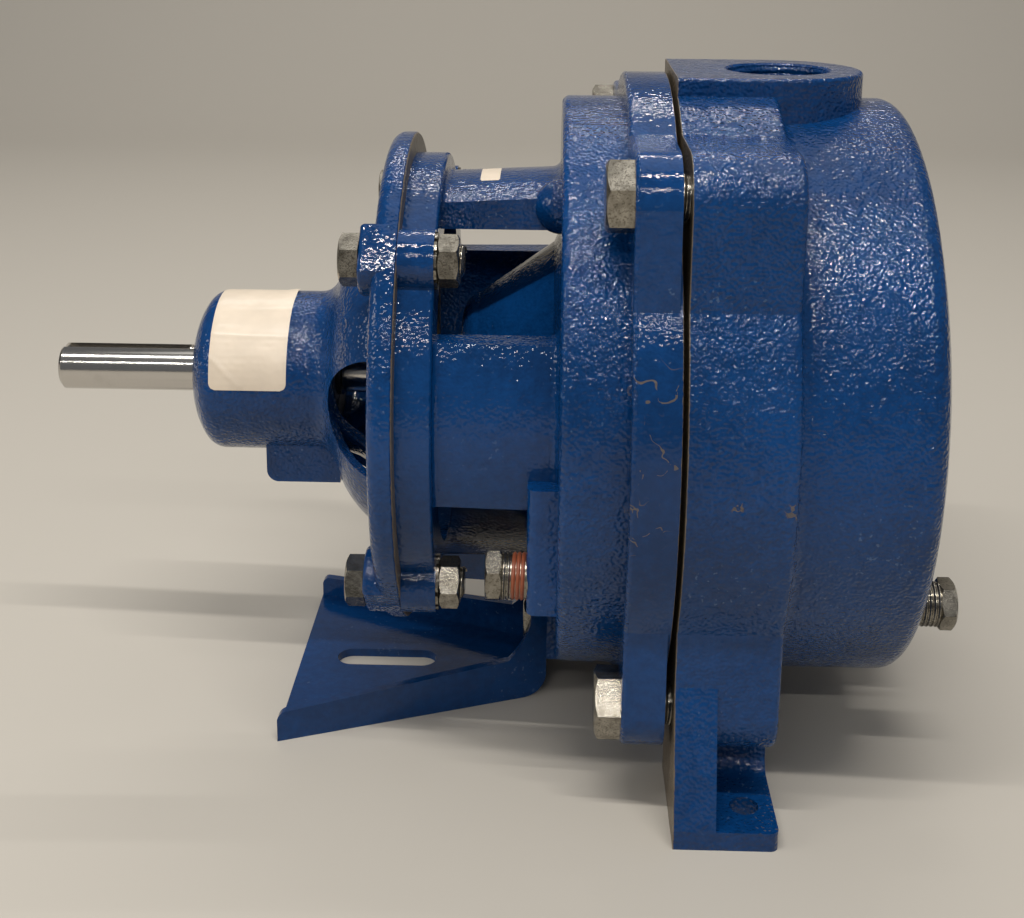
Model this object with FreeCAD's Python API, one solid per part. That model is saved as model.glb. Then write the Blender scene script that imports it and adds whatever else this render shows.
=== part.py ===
import FreeCAD, Part
import math
import os
from FreeCAD import Vector

# Belt-drive jet pump end. Lengths are millimetres. X runs along the shaft from the bearing
# frame's joint face, +X towards the pump casing, -Y towards the side with the plug boss, +Z up.
# The whole pump is moved to its own base and middle when the pieces are written.

# Shaft
shaft_diameter = 15.875
shaft_extension = 47.6
shaft_chamfer = 1.0
keyseat_width = 4.7625
keyseat_depth = 2.4
keyseat_length = 35.8
bearing_seat_diameter = 17.0
seal_shaft_diameter = 15.0
shaft_shoulder_diameter = 20.0
impeller_thread_diameter = 11.1
impeller_thread_length = 19.0

# Fits
press_clearance = 0.01
running_clearance = 0.1
sliding_clearance = 0.15
thread_clearance = 0.05
hole_clearance = 0.4
rotor_clearance = 0.6

# Bearing frame
frame_length = 75.0
barrel_radius = 27.2
nose_face_radius = 9.6
nose_dome_radius = 25.0
nose_corner_radius = 7.0
nose_wall = 3.0
bell_radius = 20.0
bell_wall = 6.0
frame_flange_radius = 82.4
frame_flange_thickness = 7.8
frame_edge_radius = 4.0
register_radius = 57.15
register_depth = 3.8
register_bore_radius = 50.0
frame_bolt_circle = 149.2
bolt_pad_radius = 11.0
bolt_pad_height = 4.1
pad_edge_radius = 1.5
window_radius = 20.0
window_centre_from_joint = 6.0
window_flange_gap = 1.2
lower_boss_start = 25.0
lower_boss_length = 25.0
lower_boss_half_width = 16.0
lower_boss_depth = 35.0
lower_boss_corner = 4.0

# Ball bearings
bearing_outer_radius = 20.0
bearing_width = 12.0
outboard_bearing_depth = 10.5
bearing_spacing = 24.0
ball_radius = 3.37
ball_count = 8
race_clearance = 0.08
race_land_height = 2.2
cage_half_width = 4.3
cage_thickness = 2.2
pocket_clearance = 0.1
lip_seal_radius = 15.0
lip_seal_width = 7.0
lip_seal_wall = 1.2
snap_ring_thickness = 1.6
snap_ring_depth = 3.2
snap_groove_depth = 1.1
snap_ring_gap_angle = 50.0
shaft_ring_height = 2.6
shaft_ring_thickness = 1.1
slinger_radius = 17.0
slinger_thickness = 3.0
slinger_from_joint = 15.0

# Adapter
adapter_flange_radius = 75.5
adapter_flange_thickness = 10.9
adapter_edge_radius = 1.2
adapter_ear_radius = 9.5
adapter_bore_clearance = 0.1
arm_outer_radius = 69.6
arm_draft_growth = 1.7
arm_wall = 8.0
top_arm_half_width = 25.0
side_arm_top = 30.0
side_arm_bottom = 21.0
arm_window_corner = 3.0
disc_face = 48.7
disc_wall = 8.3
disc_radius = 95.3
disc_edge_radius = 2.5
disc_end = 68.4
hub_nose = 16.0
hub_nose_radius = 15.0
hub_shoulder = 21.7
hub_shoulder_radius = 28.0
hub_foot_radius = 47.0
hub_wall = 8.0
hub_floor = 6.5
chamber_radius = 84.0
flange_thickness = 13.9
flange_body_radius = 103.5
ear_setback = 1.0
casing_bolt_circle = 222.25
ear_edge_distance = 12.75
ear_corner_radius = 14.0
flange_edge_radius = 1.5
spigot_radius = 88.0
spigot_length = 6.7
dome_radius = 8.8
dome_circle_radius = 67.0
dome_angle = 71.0
plug_boss_height = 9.1
plug_boss_near = 78.0
plug_boss_far = 58.0
plug_boss_top = 10.5
plug_boss_bottom = 50.8
plug_boss_corner = 3.0
adapter_plug_y = 69.7
adapter_plug_z = 41.8
lug_half_width = 17.5
lug_bottom = 99.0
lug_top = 78.0
lug_start = 46.0
lug_end = 64.0

# Casing
casing_gap = 1.6
block_length = 31.2
drum_radius = 95.5
drum_wall = 6.5
drum_root_radius = 4.0
dome_reach = 57.3
dome_knuckle_radius = 5.5
dome_crown_radius = 300.0
cavity_corner_radius = 3.0
block_edge_radius = 1.6
gasket_thickness = 1.6
gasket_width = 5.0
ledge_depth = 3.0
port_pad_top = 105.5
port_from_casing_face = 34.6
port_pad_radius = 27.2
port_pad_edge_radius = 1.2
discharge_radius = 16.6
port_chamfer = 0.7
end_pad_reach = 59.4
end_pad_half_width = 30.0
end_pad_depth = 22.0
end_pad_edge_radius = 2.0
suction_radius = 21.1
suction_thread_length = 22.0
suction_tube_radius = 33.0
suction_passage_radius = 19.0
drive_port_drop = 50.0
drive_port_radius = 16.6
guide_socket_depth = 6.0
drain_plug_y = 52.1
drain_plug_z = 57.1
foot_half_width = 102.5
foot_inner_edge = 60.0
foot_wall_edge = 69.0
foot_plate_thickness = 6.0
foot_root_radius = 5.0
cheek_thickness = 12.6
cheek_top = 66.0
axis_height = 112.5
foot_hole_diameter = 8.7
foot_hole_y = 89.0
foot_hole_from_face = 22.3
foot_corner_radius = 2.5
base_relief_half_width = 40.0
base_relief_height = 6.0
base_web_setback = 1.2

# Fasteners
frame_bolt_diameter = 9.525
frame_bolt_across_flats = 14.29
frame_bolt_head_height = 6.1
frame_nut_height = 6.6
frame_bolt_protrusion = 1.4
star_washer_radius = 8.8
star_washer_thickness = 0.8
star_washer_teeth = 12
star_tooth_depth = 2.0
star_notch_width = 1.5
casing_bolt_diameter = 12.7
casing_bolt_across_flats = 19.05
casing_bolt_head_height = 7.9
casing_bolt_engagement = 24.0
tap_overrun = 3.0
pipe_plug_radius = 6.85
pipe_plug_across_flats = 14.29
pipe_plug_hex_height = 5.2
adapter_plug_exposed = 7.4
drain_plug_exposed = 7.0
pipe_plug_engagement = 9.0
bracket_bolt_diameter = 7.94
bracket_bolt_across_flats = 12.7
bracket_bolt_head_height = 5.3
bracket_bolt_spacing = 17.0
bracket_bolt_drop = 88.0
bracket_bolt_engagement = 13.0
frame_head_turns = (5.0, -12.0, 22.0, 16.6)
frame_nut_turns = (3.6, 17.0, -20.0, 30.0)
casing_head_turns = (-9.5, 14.0, -25.0, 36.5)

# Mechanical seal
seat_radius = 13.2
seat_bore_radius = 9.4
seat_thickness = 7.0
cup_radius = 15.9
cup_lip = 1.2
seal_face_gap = 0.1
carbon_radius = 12.4
carbon_length = 5.0
bellows_length = 8.0
retainer_radius = 14.2
retainer_wall = 0.8
retainer_length = 12.0
spring_mean_radius = 11.2
spring_wire_radius = 0.9
spring_wire_sides = 12
spring_coils = 3.5

# Impeller and guide vanes
impeller_back = 61.0
impeller_radius = 62.0
impeller_hub_radius = 13.0
impeller_hub_length = 3.0
impeller_shroud = 2.4
impeller_passage = 7.0
impeller_eye_radius = 19.0
impeller_neck_radius = 22.6
impeller_neck_length = 5.5
impeller_vanes = 6
impeller_vane_thickness = 2.4
impeller_vane_sweep = 95.0
impeller_vane_start_radius = 20.5
insert_radius = 9.0
guide_vanes = 9
guide_vane_sweep = 48.0
guide_vane_thickness = 2.8
guide_plate_thickness = 3.0
guide_sleeve_wall = 4.0
wear_ring_wall = 1.6
seal_ring_radius = 1.3
seal_ring_clearance = 0.02

# Support bracket
bracket_thickness = 3.0
bracket_length = 88.5
bracket_wide_half = 51.1
bracket_narrow_half = 17.5
bracket_bend_radius = 8.0
bracket_leg_top = 75.0
bracket_lip_height = 10.4
bracket_lip_rise = 4.6
bracket_lip_corner = 3.0
bracket_gusset_reach = 13.0
bracket_gusset_top_width = 5.5
slot_length = 36.0
slot_width = 11.1
slot_from_left = 12.8

# Places worked out from the sizes above
shaft_radius = shaft_diameter / 2
seat_shaft_radius = bearing_seat_diameter / 2
seal_shaft_radius = seal_shaft_diameter / 2
nose_x = -frame_length
shaft_tip_x = nose_x - shaft_extension
outboard_bearing_x = nose_x + outboard_bearing_depth
inboard_bearing_x = outboard_bearing_x + bearing_spacing
frame_bolt_offset = frame_bolt_circle / 2 / math.sqrt(2)
casing_bolt_offset = casing_bolt_circle / 2 / math.sqrt(2)
flange_start = disc_end
flange_end = flange_start + flange_thickness
casing_face = flange_end + casing_gap
block_end = casing_face + block_length
dome_end = block_end + dome_reach
dome_centre_x = dome_end - dome_crown_radius
end_pad_face = block_end + end_pad_reach
spigot_end = flange_end + spigot_length
ledge_x = spigot_end + gasket_thickness
port_x = casing_face + port_from_casing_face
ear_edge = casing_bolt_offset + ear_edge_distance
chamber_floor = disc_face + disc_wall
seat_start = hub_nose + hub_floor
seal_face_x = seat_start + seat_thickness
carbon_start = seal_face_x + seal_face_gap
bellows_start = carbon_start + carbon_length
retainer_end = bellows_start + bellows_length
hub_bore_radius = seal_shaft_radius + rotor_clearance + 1.0
impeller_front = impeller_back + 2 * impeller_shroud + impeller_passage
guide_plate_x = impeller_front + 2 * rotor_clearance
neck_end = impeller_front + impeller_neck_length
wear_ring_radius = impeller_neck_radius + 0.3 + wear_ring_wall
guide_sleeve_radius = wear_ring_radius + guide_sleeve_wall
guide_sleeve_end = block_end + guide_socket_depth
lug_face = lug_start
bracket_left = lug_face - bracket_length
to_origin = Vector(-(shaft_tip_x + end_pad_face) / 2, 0, axis_height)
MIDDLE = Vector(0, 0, 0)
ALONG = Vector(1, 0, 0)
UP = Vector(0, 0, 1)
ACROSS = Vector(0, 1, 0)


def rod(start, end, radius, y=0.0, z=0.0):
    """A cylinder along X."""
    return Part.makeCylinder(radius, end - start, Vector(start, y, z), ALONG)


def tube(start, end, outer, inner, y=0.0, z=0.0):
    """A round tube along X."""
    return rod(start, end, outer, y, z).cut(rod(start - 1, end + 1, inner, y, z))


def block(x_range, y_range, z_range):
    """A box between three pairs of limits."""
    size = [high - low for low, high in (x_range, y_range, z_range)]
    return Part.makeBox(*size, Vector(x_range[0], y_range[0], z_range[0]))


def upright(radius, low, high, x, y):
    """A vertical cylinder."""
    return Part.makeCylinder(radius, high - low, Vector(x, y, low), UP)


def turned(*steps):
    """A solid turned about X. A step is a point (x, r), or two points for an arc's middle and end."""
    edges = []
    here = Vector(steps[0][0], 0, steps[0][1])
    first = here
    for step in steps[1:]:
        if isinstance(step[0], tuple):
            middle = Vector(step[0][0], 0, step[0][1])
            end = Vector(step[1][0], 0, step[1][1])
            edges.append(Part.Arc(here, middle, end).toShape())
        else:
            end = Vector(step[0], 0, step[1])
            edges.append(Part.makeLine(here, end))
        here = end
    if (here - first).Length > 1e-6:
        edges.append(Part.makeLine(here, first))
    face = Part.Face(Part.Wire(edges))
    return face.revolve(MIDDLE, ALONG, 360)


def quarter(centre_x, centre_r, radius, from_angle, to_angle):
    """The middle and end of an arc round a centre, in the plane of a turned profile."""
    middle = math.radians((from_angle + to_angle) / 2)
    end = math.radians(to_angle)
    return (
        (centre_x + radius * math.cos(middle), centre_r + radius * math.sin(middle)),
        (centre_x + radius * math.cos(end), centre_r + radius * math.sin(end)),
    )


def hexagon(start, end, across_flats, y, z, turn):
    """A hexagonal prism along X with chamfered corners, one flat facing -Y at turn 0."""
    corner = across_flats / math.sqrt(3)
    points = []
    for side in range(7):
        angle = math.radians(30 + 60 * side + turn)
        points.append(Vector(start, y - corner * math.cos(angle), z + corner * math.sin(angle)))
    prism = Part.Face(Part.makePolygon(points)).extrude(Vector(end - start, 0, 0))
    return prism


def chamfered_hexagon(start, end, across_flats, y, z, turn, near_end, far_end):
    """A hexagon whose chosen ends are chamfered to a cone, as bolt heads and nuts are."""
    prism = hexagon(start, end, across_flats, y, z, turn)
    flat = across_flats * 0.475
    corner = across_flats / math.sqrt(3) + 0.2
    rise = (corner - flat) * math.tan(math.radians(30))
    profile = [(start, 0), (start, flat if near_end else corner)]
    if near_end:
        profile.append((start + rise, corner))
    if far_end:
        profile.append((end - rise, corner))
    profile.append((end, flat if far_end else corner))
    profile.append((end, 0))
    cone = turned(*profile)
    cone.translate(Vector(0, y, z))
    return prism.common(cone)


def corners(offset):
    """The four bolt places at 45 degrees: upper near, upper far, lower far, lower near."""
    return ((-offset, offset), (offset, offset), (offset, -offset), (-offset, -offset))


def rotated(shape, angle):
    """A copy turned about the shaft."""
    copy = shape.copy()
    copy.rotate(MIDDLE, ALONG, angle)
    return copy


def edges_where(shape, test):
    """The edges whose two ends and middle all pass a test."""
    chosen = []
    for edge in shape.Edges:
        low, high = edge.ParameterRange
        points = [edge.valueAt(low), edge.valueAt((low + high) / 2), edge.valueAt(high)]
        if all(test(point) for point in points):
            chosen.append(edge)
    return chosen


def distance_from_axis(point):
    return math.hypot(point.y, point.z)


def at_x(x, least=0.0, most=1000.0):
    """A test for points on one plane across the shaft, within a ring."""
    return lambda p: abs(p.x - x) < 1e-4 and least < distance_from_axis(p) < most


def written(name, *solids):
    """Moves a piece to the pump's own origin and writes it."""
    shape = solids[0] if len(solids) == 1 else Part.makeCompound(list(solids))
    shape = shape.copy()
    shape.translate(to_origin)
    shape.exportStep("parts/" + name + ".step")


# Lobed outline shared by the adapter's flange and the casing's block


def lobed_body(start, end, ear_end):
    """A round body on a square with rounded corners, whose ears carry the casing bolts."""
    square = block((start, ear_end), (-ear_edge, ear_edge), (-ear_edge, ear_edge))
    upright_edges = edges_where(square, lambda p: distance_from_axis(p) > ear_edge * 1.4)
    along = [edge for edge in upright_edges if edge.Length > ear_end - start - 1e-3]
    return rod(start, end, flange_body_radius).fuse(square.makeFillet(ear_corner_radius, along))


# Bearing frame


def frame_outside():
    """The turned barrel, its bell and the round flange."""
    dome_x = nose_x + nose_dome_radius
    corner_r = barrel_radius - nose_corner_radius
    rise = corner_r - nose_face_radius
    corner_x = dome_x - math.sqrt((nose_dome_radius - nose_corner_radius) ** 2 - rise**2)
    blend = 180 - math.degrees(math.atan2(rise, dome_x - corner_x))
    bell_start = -frame_flange_thickness - bell_radius
    rim = frame_flange_radius - frame_edge_radius
    return turned(
        (nose_x, 0),
        (nose_x, nose_face_radius),
        quarter(dome_x, nose_face_radius, nose_dome_radius, 180, blend),
        quarter(corner_x, corner_r, nose_corner_radius, blend, 90),
        (bell_start, barrel_radius),
        quarter(bell_start, barrel_radius + bell_radius, bell_radius, -90, 0),
        (-frame_flange_thickness, rim),
        quarter(frame_edge_radius - frame_flange_thickness, rim, frame_edge_radius, 180, 90),
        (-0.6, frame_flange_radius),
        (0, frame_flange_radius - 0.6),
        (0, register_radius),
        (register_depth, register_radius),
        (register_depth, 0),
    )


def frame_inside():
    """Seal bore, bearing bore with its ring groove, and the bell's hollow."""
    bell_start = -frame_flange_thickness - bell_radius
    housing_end = inboard_bearing_x + bearing_width + snap_ring_thickness + 2.2
    inner_radius = bell_radius + bell_wall
    centre_r = barrel_radius + bell_radius
    rise = centre_r - math.sqrt(inner_radius**2 - (housing_end - bell_start) ** 2)
    flat_x = bell_start + math.sqrt(inner_radius**2 - 0.01)
    half = math.radians(-38)
    groove_start = inboard_bearing_x + bearing_width
    bore = bearing_outer_radius + press_clearance
    return turned(
        (nose_x - 1, 0),
        (nose_x - 1, seat_shaft_radius + rotor_clearance),
        (nose_x + nose_wall, seat_shaft_radius + rotor_clearance),
        (nose_x + nose_wall, lip_seal_radius),
        (outboard_bearing_x, lip_seal_radius),
        (outboard_bearing_x, bore),
        (groove_start, bore),
        (groove_start, bore + snap_groove_depth),
        (groove_start + snap_ring_thickness + press_clearance, bore + snap_groove_depth),
        (groove_start + snap_ring_thickness + press_clearance, bore),
        (housing_end, bore),
        (housing_end, rise),
        (
            (bell_start + inner_radius * math.cos(half), centre_r + inner_radius * math.sin(half)),
            (flat_x, centre_r - 0.1),
        ),
        (register_depth + 1, register_bore_radius),
        (register_depth + 1, 0),
    )


def frame_windows():
    """The four cored windows of the bell, between the webs that carry the bolt pads."""
    centre = -window_centre_from_joint
    limit = -frame_flange_thickness - window_flange_gap
    reach = frame_flange_radius
    keep = block((centre - window_radius - 1, limit), (-reach, reach), (-reach, reach))
    side = Part.makeCylinder(window_radius, 2 * reach, Vector(centre, -reach, 0), ACROSS)
    upper = Part.makeCylinder(window_radius, 2 * reach, Vector(centre, 0, -reach), UP)
    return side.fuse(upper).common(keep)


def lower_boss():
    """The thick cast boss under the barrel's inner end."""
    start = nose_x + lower_boss_start
    boss = block(
        (start, start + lower_boss_length),
        (-lower_boss_half_width, lower_boss_half_width),
        (-lower_boss_depth, 0),
    )
    low = edges_where(boss, lambda p: p.z < -1 and p.x < start + lower_boss_length - 1)
    return boss.makeFillet(lower_boss_corner, low)


def bearing_frame():
    frame = frame_outside()
    pads = []
    for y, z in corners(frame_bolt_offset):
        pad = rod(-frame_flange_thickness - bolt_pad_height, -0.6, bolt_pad_radius, y, z)
        pads.append(pad)
    rim = rod(-frame_flange_thickness - bolt_pad_height, 0, frame_flange_radius)
    frame = frame.fuse([pad.common(rim) for pad in pads])
    frame = frame.fuse(lower_boss()).removeSplitter()
    pad_top = -frame_flange_thickness - bolt_pad_height
    frame = frame.makeFillet(pad_edge_radius, edges_where(frame, at_x(pad_top, register_radius)))
    frame = frame.cut(frame_windows())
    frame = frame.cut(frame_inside())
    holes = []
    for y, z in corners(frame_bolt_offset):
        holes.append(rod(pad_top - 1, register_depth, frame_bolt_diameter / 2 + hole_clearance, y, z))
    return frame.cut(holes)


# Shaft and bearings


def shaft():
    inboard_end = inboard_bearing_x + bearing_width
    groove_end = inboard_end + shaft_ring_thickness
    thread = impeller_thread_diameter / 2
    body = turned(
        (shaft_tip_x, 0),
        (shaft_tip_x, shaft_radius - shaft_chamfer),
        (shaft_tip_x + shaft_chamfer, shaft_radius),
        (nose_x, shaft_radius),
        (nose_x + 0.5, seat_shaft_radius),
        (outboard_bearing_x + bearing_width, seat_shaft_radius),
        (outboard_bearing_x + bearing_width, shaft_shoulder_diameter / 2),
        (inboard_bearing_x, shaft_shoulder_diameter / 2),
        (inboard_bearing_x, seat_shaft_radius),
        (inboard_end, seat_shaft_radius),
        (inboard_end, seat_shaft_radius - snap_groove_depth),
        (groove_end, seat_shaft_radius - snap_groove_depth),
        (groove_end, seat_shaft_radius),
        (groove_end + 2, seat_shaft_radius),
        (groove_end + 2.5, seal_shaft_radius),
        (impeller_back - impeller_hub_length, seal_shaft_radius),
        (impeller_back - impeller_hub_length, thread),
        (impeller_back - impeller_hub_length + impeller_thread_length - 1, thread),
        (impeller_back - impeller_hub_length + impeller_thread_length, thread - 1),
        (impeller_back - impeller_hub_length + impeller_thread_length, 0),
    )
    floor = shaft_radius - keyseat_depth
    half = keyseat_width / 2
    keyseat_end = shaft_tip_x + keyseat_length
    keyseat = block((shaft_tip_x - 1, keyseat_end), (-half, half), (floor, shaft_radius + 1))
    cutter_radius = 19.0
    runout = Part.makeCylinder(
        cutter_radius,
        keyseat_width,
        Vector(keyseat_end, -half, floor + cutter_radius),
        ACROSS,
    )
    past = block((keyseat_end, nose_x), (-half, half), (floor, shaft_radius + 1))
    return body.cut(keyseat).cut(runout.common(past))


def ball_pitch_radius():
    return (bearing_outer_radius + seat_shaft_radius) / 2


def race_groove(x):
    """The ring-shaped groove that the balls run in."""
    pitch = ball_pitch_radius()
    return Part.makeTorus(pitch, ball_radius + race_clearance, Vector(x + bearing_width / 2, 0, 0), ALONG)


def outer_ring(x):
    inner = ball_pitch_radius() + race_land_height
    return tube(x, x + bearing_width, bearing_outer_radius, inner).cut(race_groove(x))


def inner_ring(x):
    outer = ball_pitch_radius() - race_land_height
    return tube(x, x + bearing_width, outer, seat_shaft_radius + press_clearance).cut(race_groove(x))


def balls(x):
    solids = []
    for number in range(ball_count):
        ball = Part.makeSphere(ball_radius, Vector(x + bearing_width / 2, 0, ball_pitch_radius()))
        solids.append(rotated(ball, 360 * number / ball_count))
    return solids


def cage(x):
    """A ring between the races with a round pocket for each ball."""
    middle = x + bearing_width / 2
    pitch = ball_pitch_radius()
    ring = tube(
        middle - cage_half_width,
        middle + cage_half_width,
        pitch + cage_thickness / 2,
        pitch - cage_thickness / 2,
    )
    pocket = Part.makeSphere(ball_radius + pocket_clearance, Vector(middle, 0, pitch))
    return ring.cut([rotated(pocket, 360 * number / ball_count) for number in range(ball_count)])


def lip_seal():
    """Radial shaft seal: a channel-shaped ring whose lip runs on the shaft."""
    start = nose_x + nose_wall
    end = start + lip_seal_width
    lip = seat_shaft_radius + running_clearance
    return turned(
        (start, lip_seal_radius),
        (end, lip_seal_radius),
        (end, lip_seal_radius - lip_seal_wall),
        (start + 2 * lip_seal_wall, lip_seal_radius - lip_seal_wall),
        (start + 2 * lip_seal_wall, lip + lip_seal_wall),
        (start + 3.5 * lip_seal_wall, lip + lip_seal_wall),
        (start + 3.5 * lip_seal_wall, lip),
        (start + 2.6 * lip_seal_wall, lip),
        (start, lip + lip_seal_wall),
    )


def open_ring(start, thickness, outer, inner):
    """A snap ring with a gap at its top."""
    ring = tube(start, start + thickness, outer, inner)
    half = math.radians(snap_ring_gap_angle / 2)
    reach = outer * 2
    points = [
        Vector(start - 1, 0, 0),
        Vector(start - 1, -reach * math.sin(half), reach * math.cos(half)),
        Vector(start - 1, reach * math.sin(half), reach * math.cos(half)),
        Vector(start - 1, 0, 0),
    ]
    wedge = Part.Face(Part.makePolygon(points)).extrude(Vector(thickness + 2, 0, 0))
    return ring.cut(wedge)


def bearing_retaining_ring():
    start = inboard_bearing_x + bearing_width
    outer = bearing_outer_radius + snap_groove_depth
    return open_ring(start, snap_ring_thickness, outer, outer - snap_ring_depth)


def shaft_snap_ring():
    start = inboard_bearing_x + bearing_width
    inner = seat_shaft_radius - snap_groove_depth + press_clearance
    return open_ring(start, shaft_ring_thickness, inner + shaft_ring_height, inner)


def slinger():
    """Rubber disc that throws water off the shaft before it can reach the bearing."""
    start = -slinger_from_joint
    hub = seal_shaft_radius + 3
    return turned(
        (start, seal_shaft_radius),
        (start, slinger_radius),
        (start + slinger_thickness / 2, slinger_radius),
        (start + slinger_thickness, hub),
        (start + 2 * slinger_thickness, hub),
        (start + 2 * slinger_thickness, seal_shaft_radius),
    )


# Adapter


def adapter_shell():
    """The flange ring, conical cage wall and back disc, turned in one profile before the windows."""
    wall = arm_outer_radius
    grown = arm_outer_radius + arm_draft_growth
    bore = register_radius + adapter_bore_clearance
    rim = disc_radius - disc_edge_radius
    edge = adapter_flange_radius - adapter_edge_radius
    return turned(
        (0, bore),
        (0, adapter_flange_radius),
        (adapter_flange_thickness - adapter_edge_radius, adapter_flange_radius),
        quarter(adapter_flange_thickness - adapter_edge_radius, edge, adapter_edge_radius, 90, 0),
        (adapter_flange_thickness, wall + 1.5),
        quarter(adapter_flange_thickness + 1.5, wall + 1.5, 1.5, 180, 270),
        (disc_face - 3, grown),
        quarter(disc_face - 3, grown + 3, 3, 270, 360),
        (disc_face, rim),
        quarter(disc_face + disc_edge_radius, rim, disc_edge_radius, 180, 90),
        (flange_start + 1, disc_radius),
        (flange_start + 1, wall),
        (chamber_floor, wall),
        (chamber_floor, wall - arm_wall),
        (adapter_flange_thickness, wall - arm_wall),
        (adapter_flange_thickness, bore),
    )


def arm_window(y_range, z_range):
    """One window of the cage, with rounded corners at both ends."""
    window = block((adapter_flange_thickness, disc_face), y_range, z_range)
    return window.makeFillet(
        arm_window_corner,
        edges_where(window, lambda p: p.x > disc_face - 1e-3 and abs(p.z) < disc_radius),
    )


def arm_windows():
    """Windows at the four bolts, between the top, bottom and side arms."""
    far = 2 * disc_radius
    narrow = top_arm_half_width
    windows = []
    for y_range in ((-far, -narrow), (narrow, far)):
        windows.append(arm_window(y_range, (side_arm_top, far)))
        windows.append(arm_window(y_range, (-far, -side_arm_bottom)))
    return windows


def hub_profile():
    """The conical seal housing, hollow from the pump side."""
    slope = (hub_foot_radius - hub_shoulder_radius) / (disc_face - hub_shoulder)
    pocket_end = seat_start + seat_thickness + 1.5
    inner_start = hub_shoulder_radius + slope * (pocket_end - hub_shoulder) - hub_wall
    inner_end = hub_foot_radius + slope * disc_wall - hub_wall + 1
    nose_turn = 5.0
    return turned(
        (hub_nose, hub_bore_radius),
        (hub_nose, hub_nose_radius + 6),
        (
            (hub_nose + nose_turn * 0.3, hub_nose_radius + 10),
            (hub_shoulder, hub_shoulder_radius),
        ),
        (disc_face - 2, hub_foot_radius - slope * 2),
        (disc_face + 1, hub_foot_radius + 6),
        (disc_face + 1, wall_join_radius()),
        (chamber_floor, wall_join_radius()),
        (chamber_floor, inner_end),
        (pocket_end, inner_start),
        (pocket_end, cup_radius),
        (seat_start, cup_radius),
        (seat_start, hub_bore_radius),
    )


def wall_join_radius():
    return arm_outer_radius + arm_draft_growth + 2


def disc_web():
    """The back disc between the hub and the rim."""
    return tube(disc_face, chamber_floor, disc_radius - disc_edge_radius - 1, hub_foot_radius)


def plug_boss():
    """The tall boss that the pipe plug screws into."""
    boss = block(
        (disc_face - plug_boss_height, disc_face + 2),
        (-plug_boss_near, -plug_boss_far),
        (-plug_boss_bottom, -plug_boss_top),
    )
    near = edges_where(boss, lambda p: p.y < -plug_boss_near + 1e-3 and p.x < disc_face + 1)
    return boss.makeFillet(plug_boss_corner, near)


def bracket_lug():
    lug = block((lug_face, lug_end), (-lug_half_width, lug_half_width), (-lug_bottom, -lug_top))
    low = edges_where(lug, lambda p: p.z < -lug_bottom + 1e-3 and p.x > lug_face + 1)
    return lug.makeFillet(2.0, low)


def adapter():
    shell = adapter_shell().cut(arm_windows())
    ears = []
    for y, z in corners(frame_bolt_offset):
        ears.append(rod(0, adapter_flange_thickness, adapter_ear_radius, y, z))
    flange = lobed_body(flange_start, flange_end, flange_end - ear_setback)
    front = edges_where(flange, at_x(flange_start))
    flange = flange.makeFillet(flange_edge_radius, front)
    rim = tube(disc_face + disc_edge_radius, flange_end, disc_radius, chamber_radius)
    spigot = tube(flange_end - 1, spigot_end, spigot_radius, chamber_radius)
    pieces = [disc_web(), rim, flange, spigot, plug_boss(), bracket_lug(), hub_profile()]
    for number in range(4):
        dome = Part.makeSphere(dome_radius, Vector(disc_face, -dome_circle_radius, 0))
        pieces.append(rotated(dome, -dome_angle - 90 * number))
    body = shell.fuse(ears + pieces)
    body = body.cut(rod(chamber_floor, spigot_end + 1, chamber_radius))
    body = body.cut(rod(0, adapter_flange_thickness, register_radius + adapter_bore_clearance))
    holes = []
    frame_hole = frame_bolt_diameter / 2 + hole_clearance
    for y, z in corners(frame_bolt_offset):
        holes.append(rod(-1, adapter_flange_thickness + 1, frame_hole, y, z))
    casing_hole = casing_bolt_diameter / 2 + hole_clearance
    for y, z in corners(casing_bolt_offset):
        holes.append(rod(flange_start - 1, flange_end + 1, casing_hole, y, z))
    plug_hole = pipe_plug_radius + thread_clearance
    boss_face = disc_face - plug_boss_height
    plug_hole_end = boss_face + pipe_plug_engagement + 1
    holes.append(rod(boss_face - 1, plug_hole_end, plug_hole, -adapter_plug_y, -adapter_plug_z))
    for side in (-1, 1):
        y = side * bracket_bolt_spacing / 2
        hole = bracket_bolt_diameter / 2 + thread_clearance
        holes.append(rod(lug_face - 1, lug_face + bracket_bolt_engagement, hole, y, -bracket_bolt_drop))
    return body.cut(holes).removeSplitter()


# Mechanical seal


def seal_seat_cup():
    """Rubber cup that holds the seat in the hub."""
    return turned(
        (seat_start, cup_radius - press_clearance),
        (seal_face_x - 1, cup_radius - press_clearance),
        (seal_face_x - 1, seat_radius),
        (seat_start + cup_lip, seat_radius),
        (seat_start + cup_lip, seat_bore_radius + 1),
        (seat_start, seat_bore_radius + 1),
    )


def seal_seat():
    return tube(seat_start + cup_lip, seal_face_x, seat_radius, seat_bore_radius)


def seal_carbon():
    """Rotating carbon ring with its narrow sealing nose."""
    bore = seal_shaft_radius + 0.5
    return turned(
        (carbon_start, bore + 1),
        (carbon_start, carbon_radius - 1.4),
        (carbon_start + 1.2, carbon_radius - 1.4),
        (carbon_start + 1.2, carbon_radius),
        (bellows_start, carbon_radius),
        (bellows_start, bore),
        (carbon_start + 1.2, bore),
    )


def seal_bellows():
    """Rubber bellows that grips the shaft behind the carbon ring."""
    outer = carbon_radius
    return turned(
        (bellows_start, seal_shaft_radius),
        (bellows_start, outer),
        (bellows_start + 2, outer),
        (bellows_start + 3, seal_shaft_radius + 2.4),
        (retainer_end - 2.5, seal_shaft_radius + 2.4),
        (retainer_end - 1.5, outer - 1.6),
        (retainer_end, outer - 1.6),
        (retainer_end, seal_shaft_radius),
    )


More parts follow.
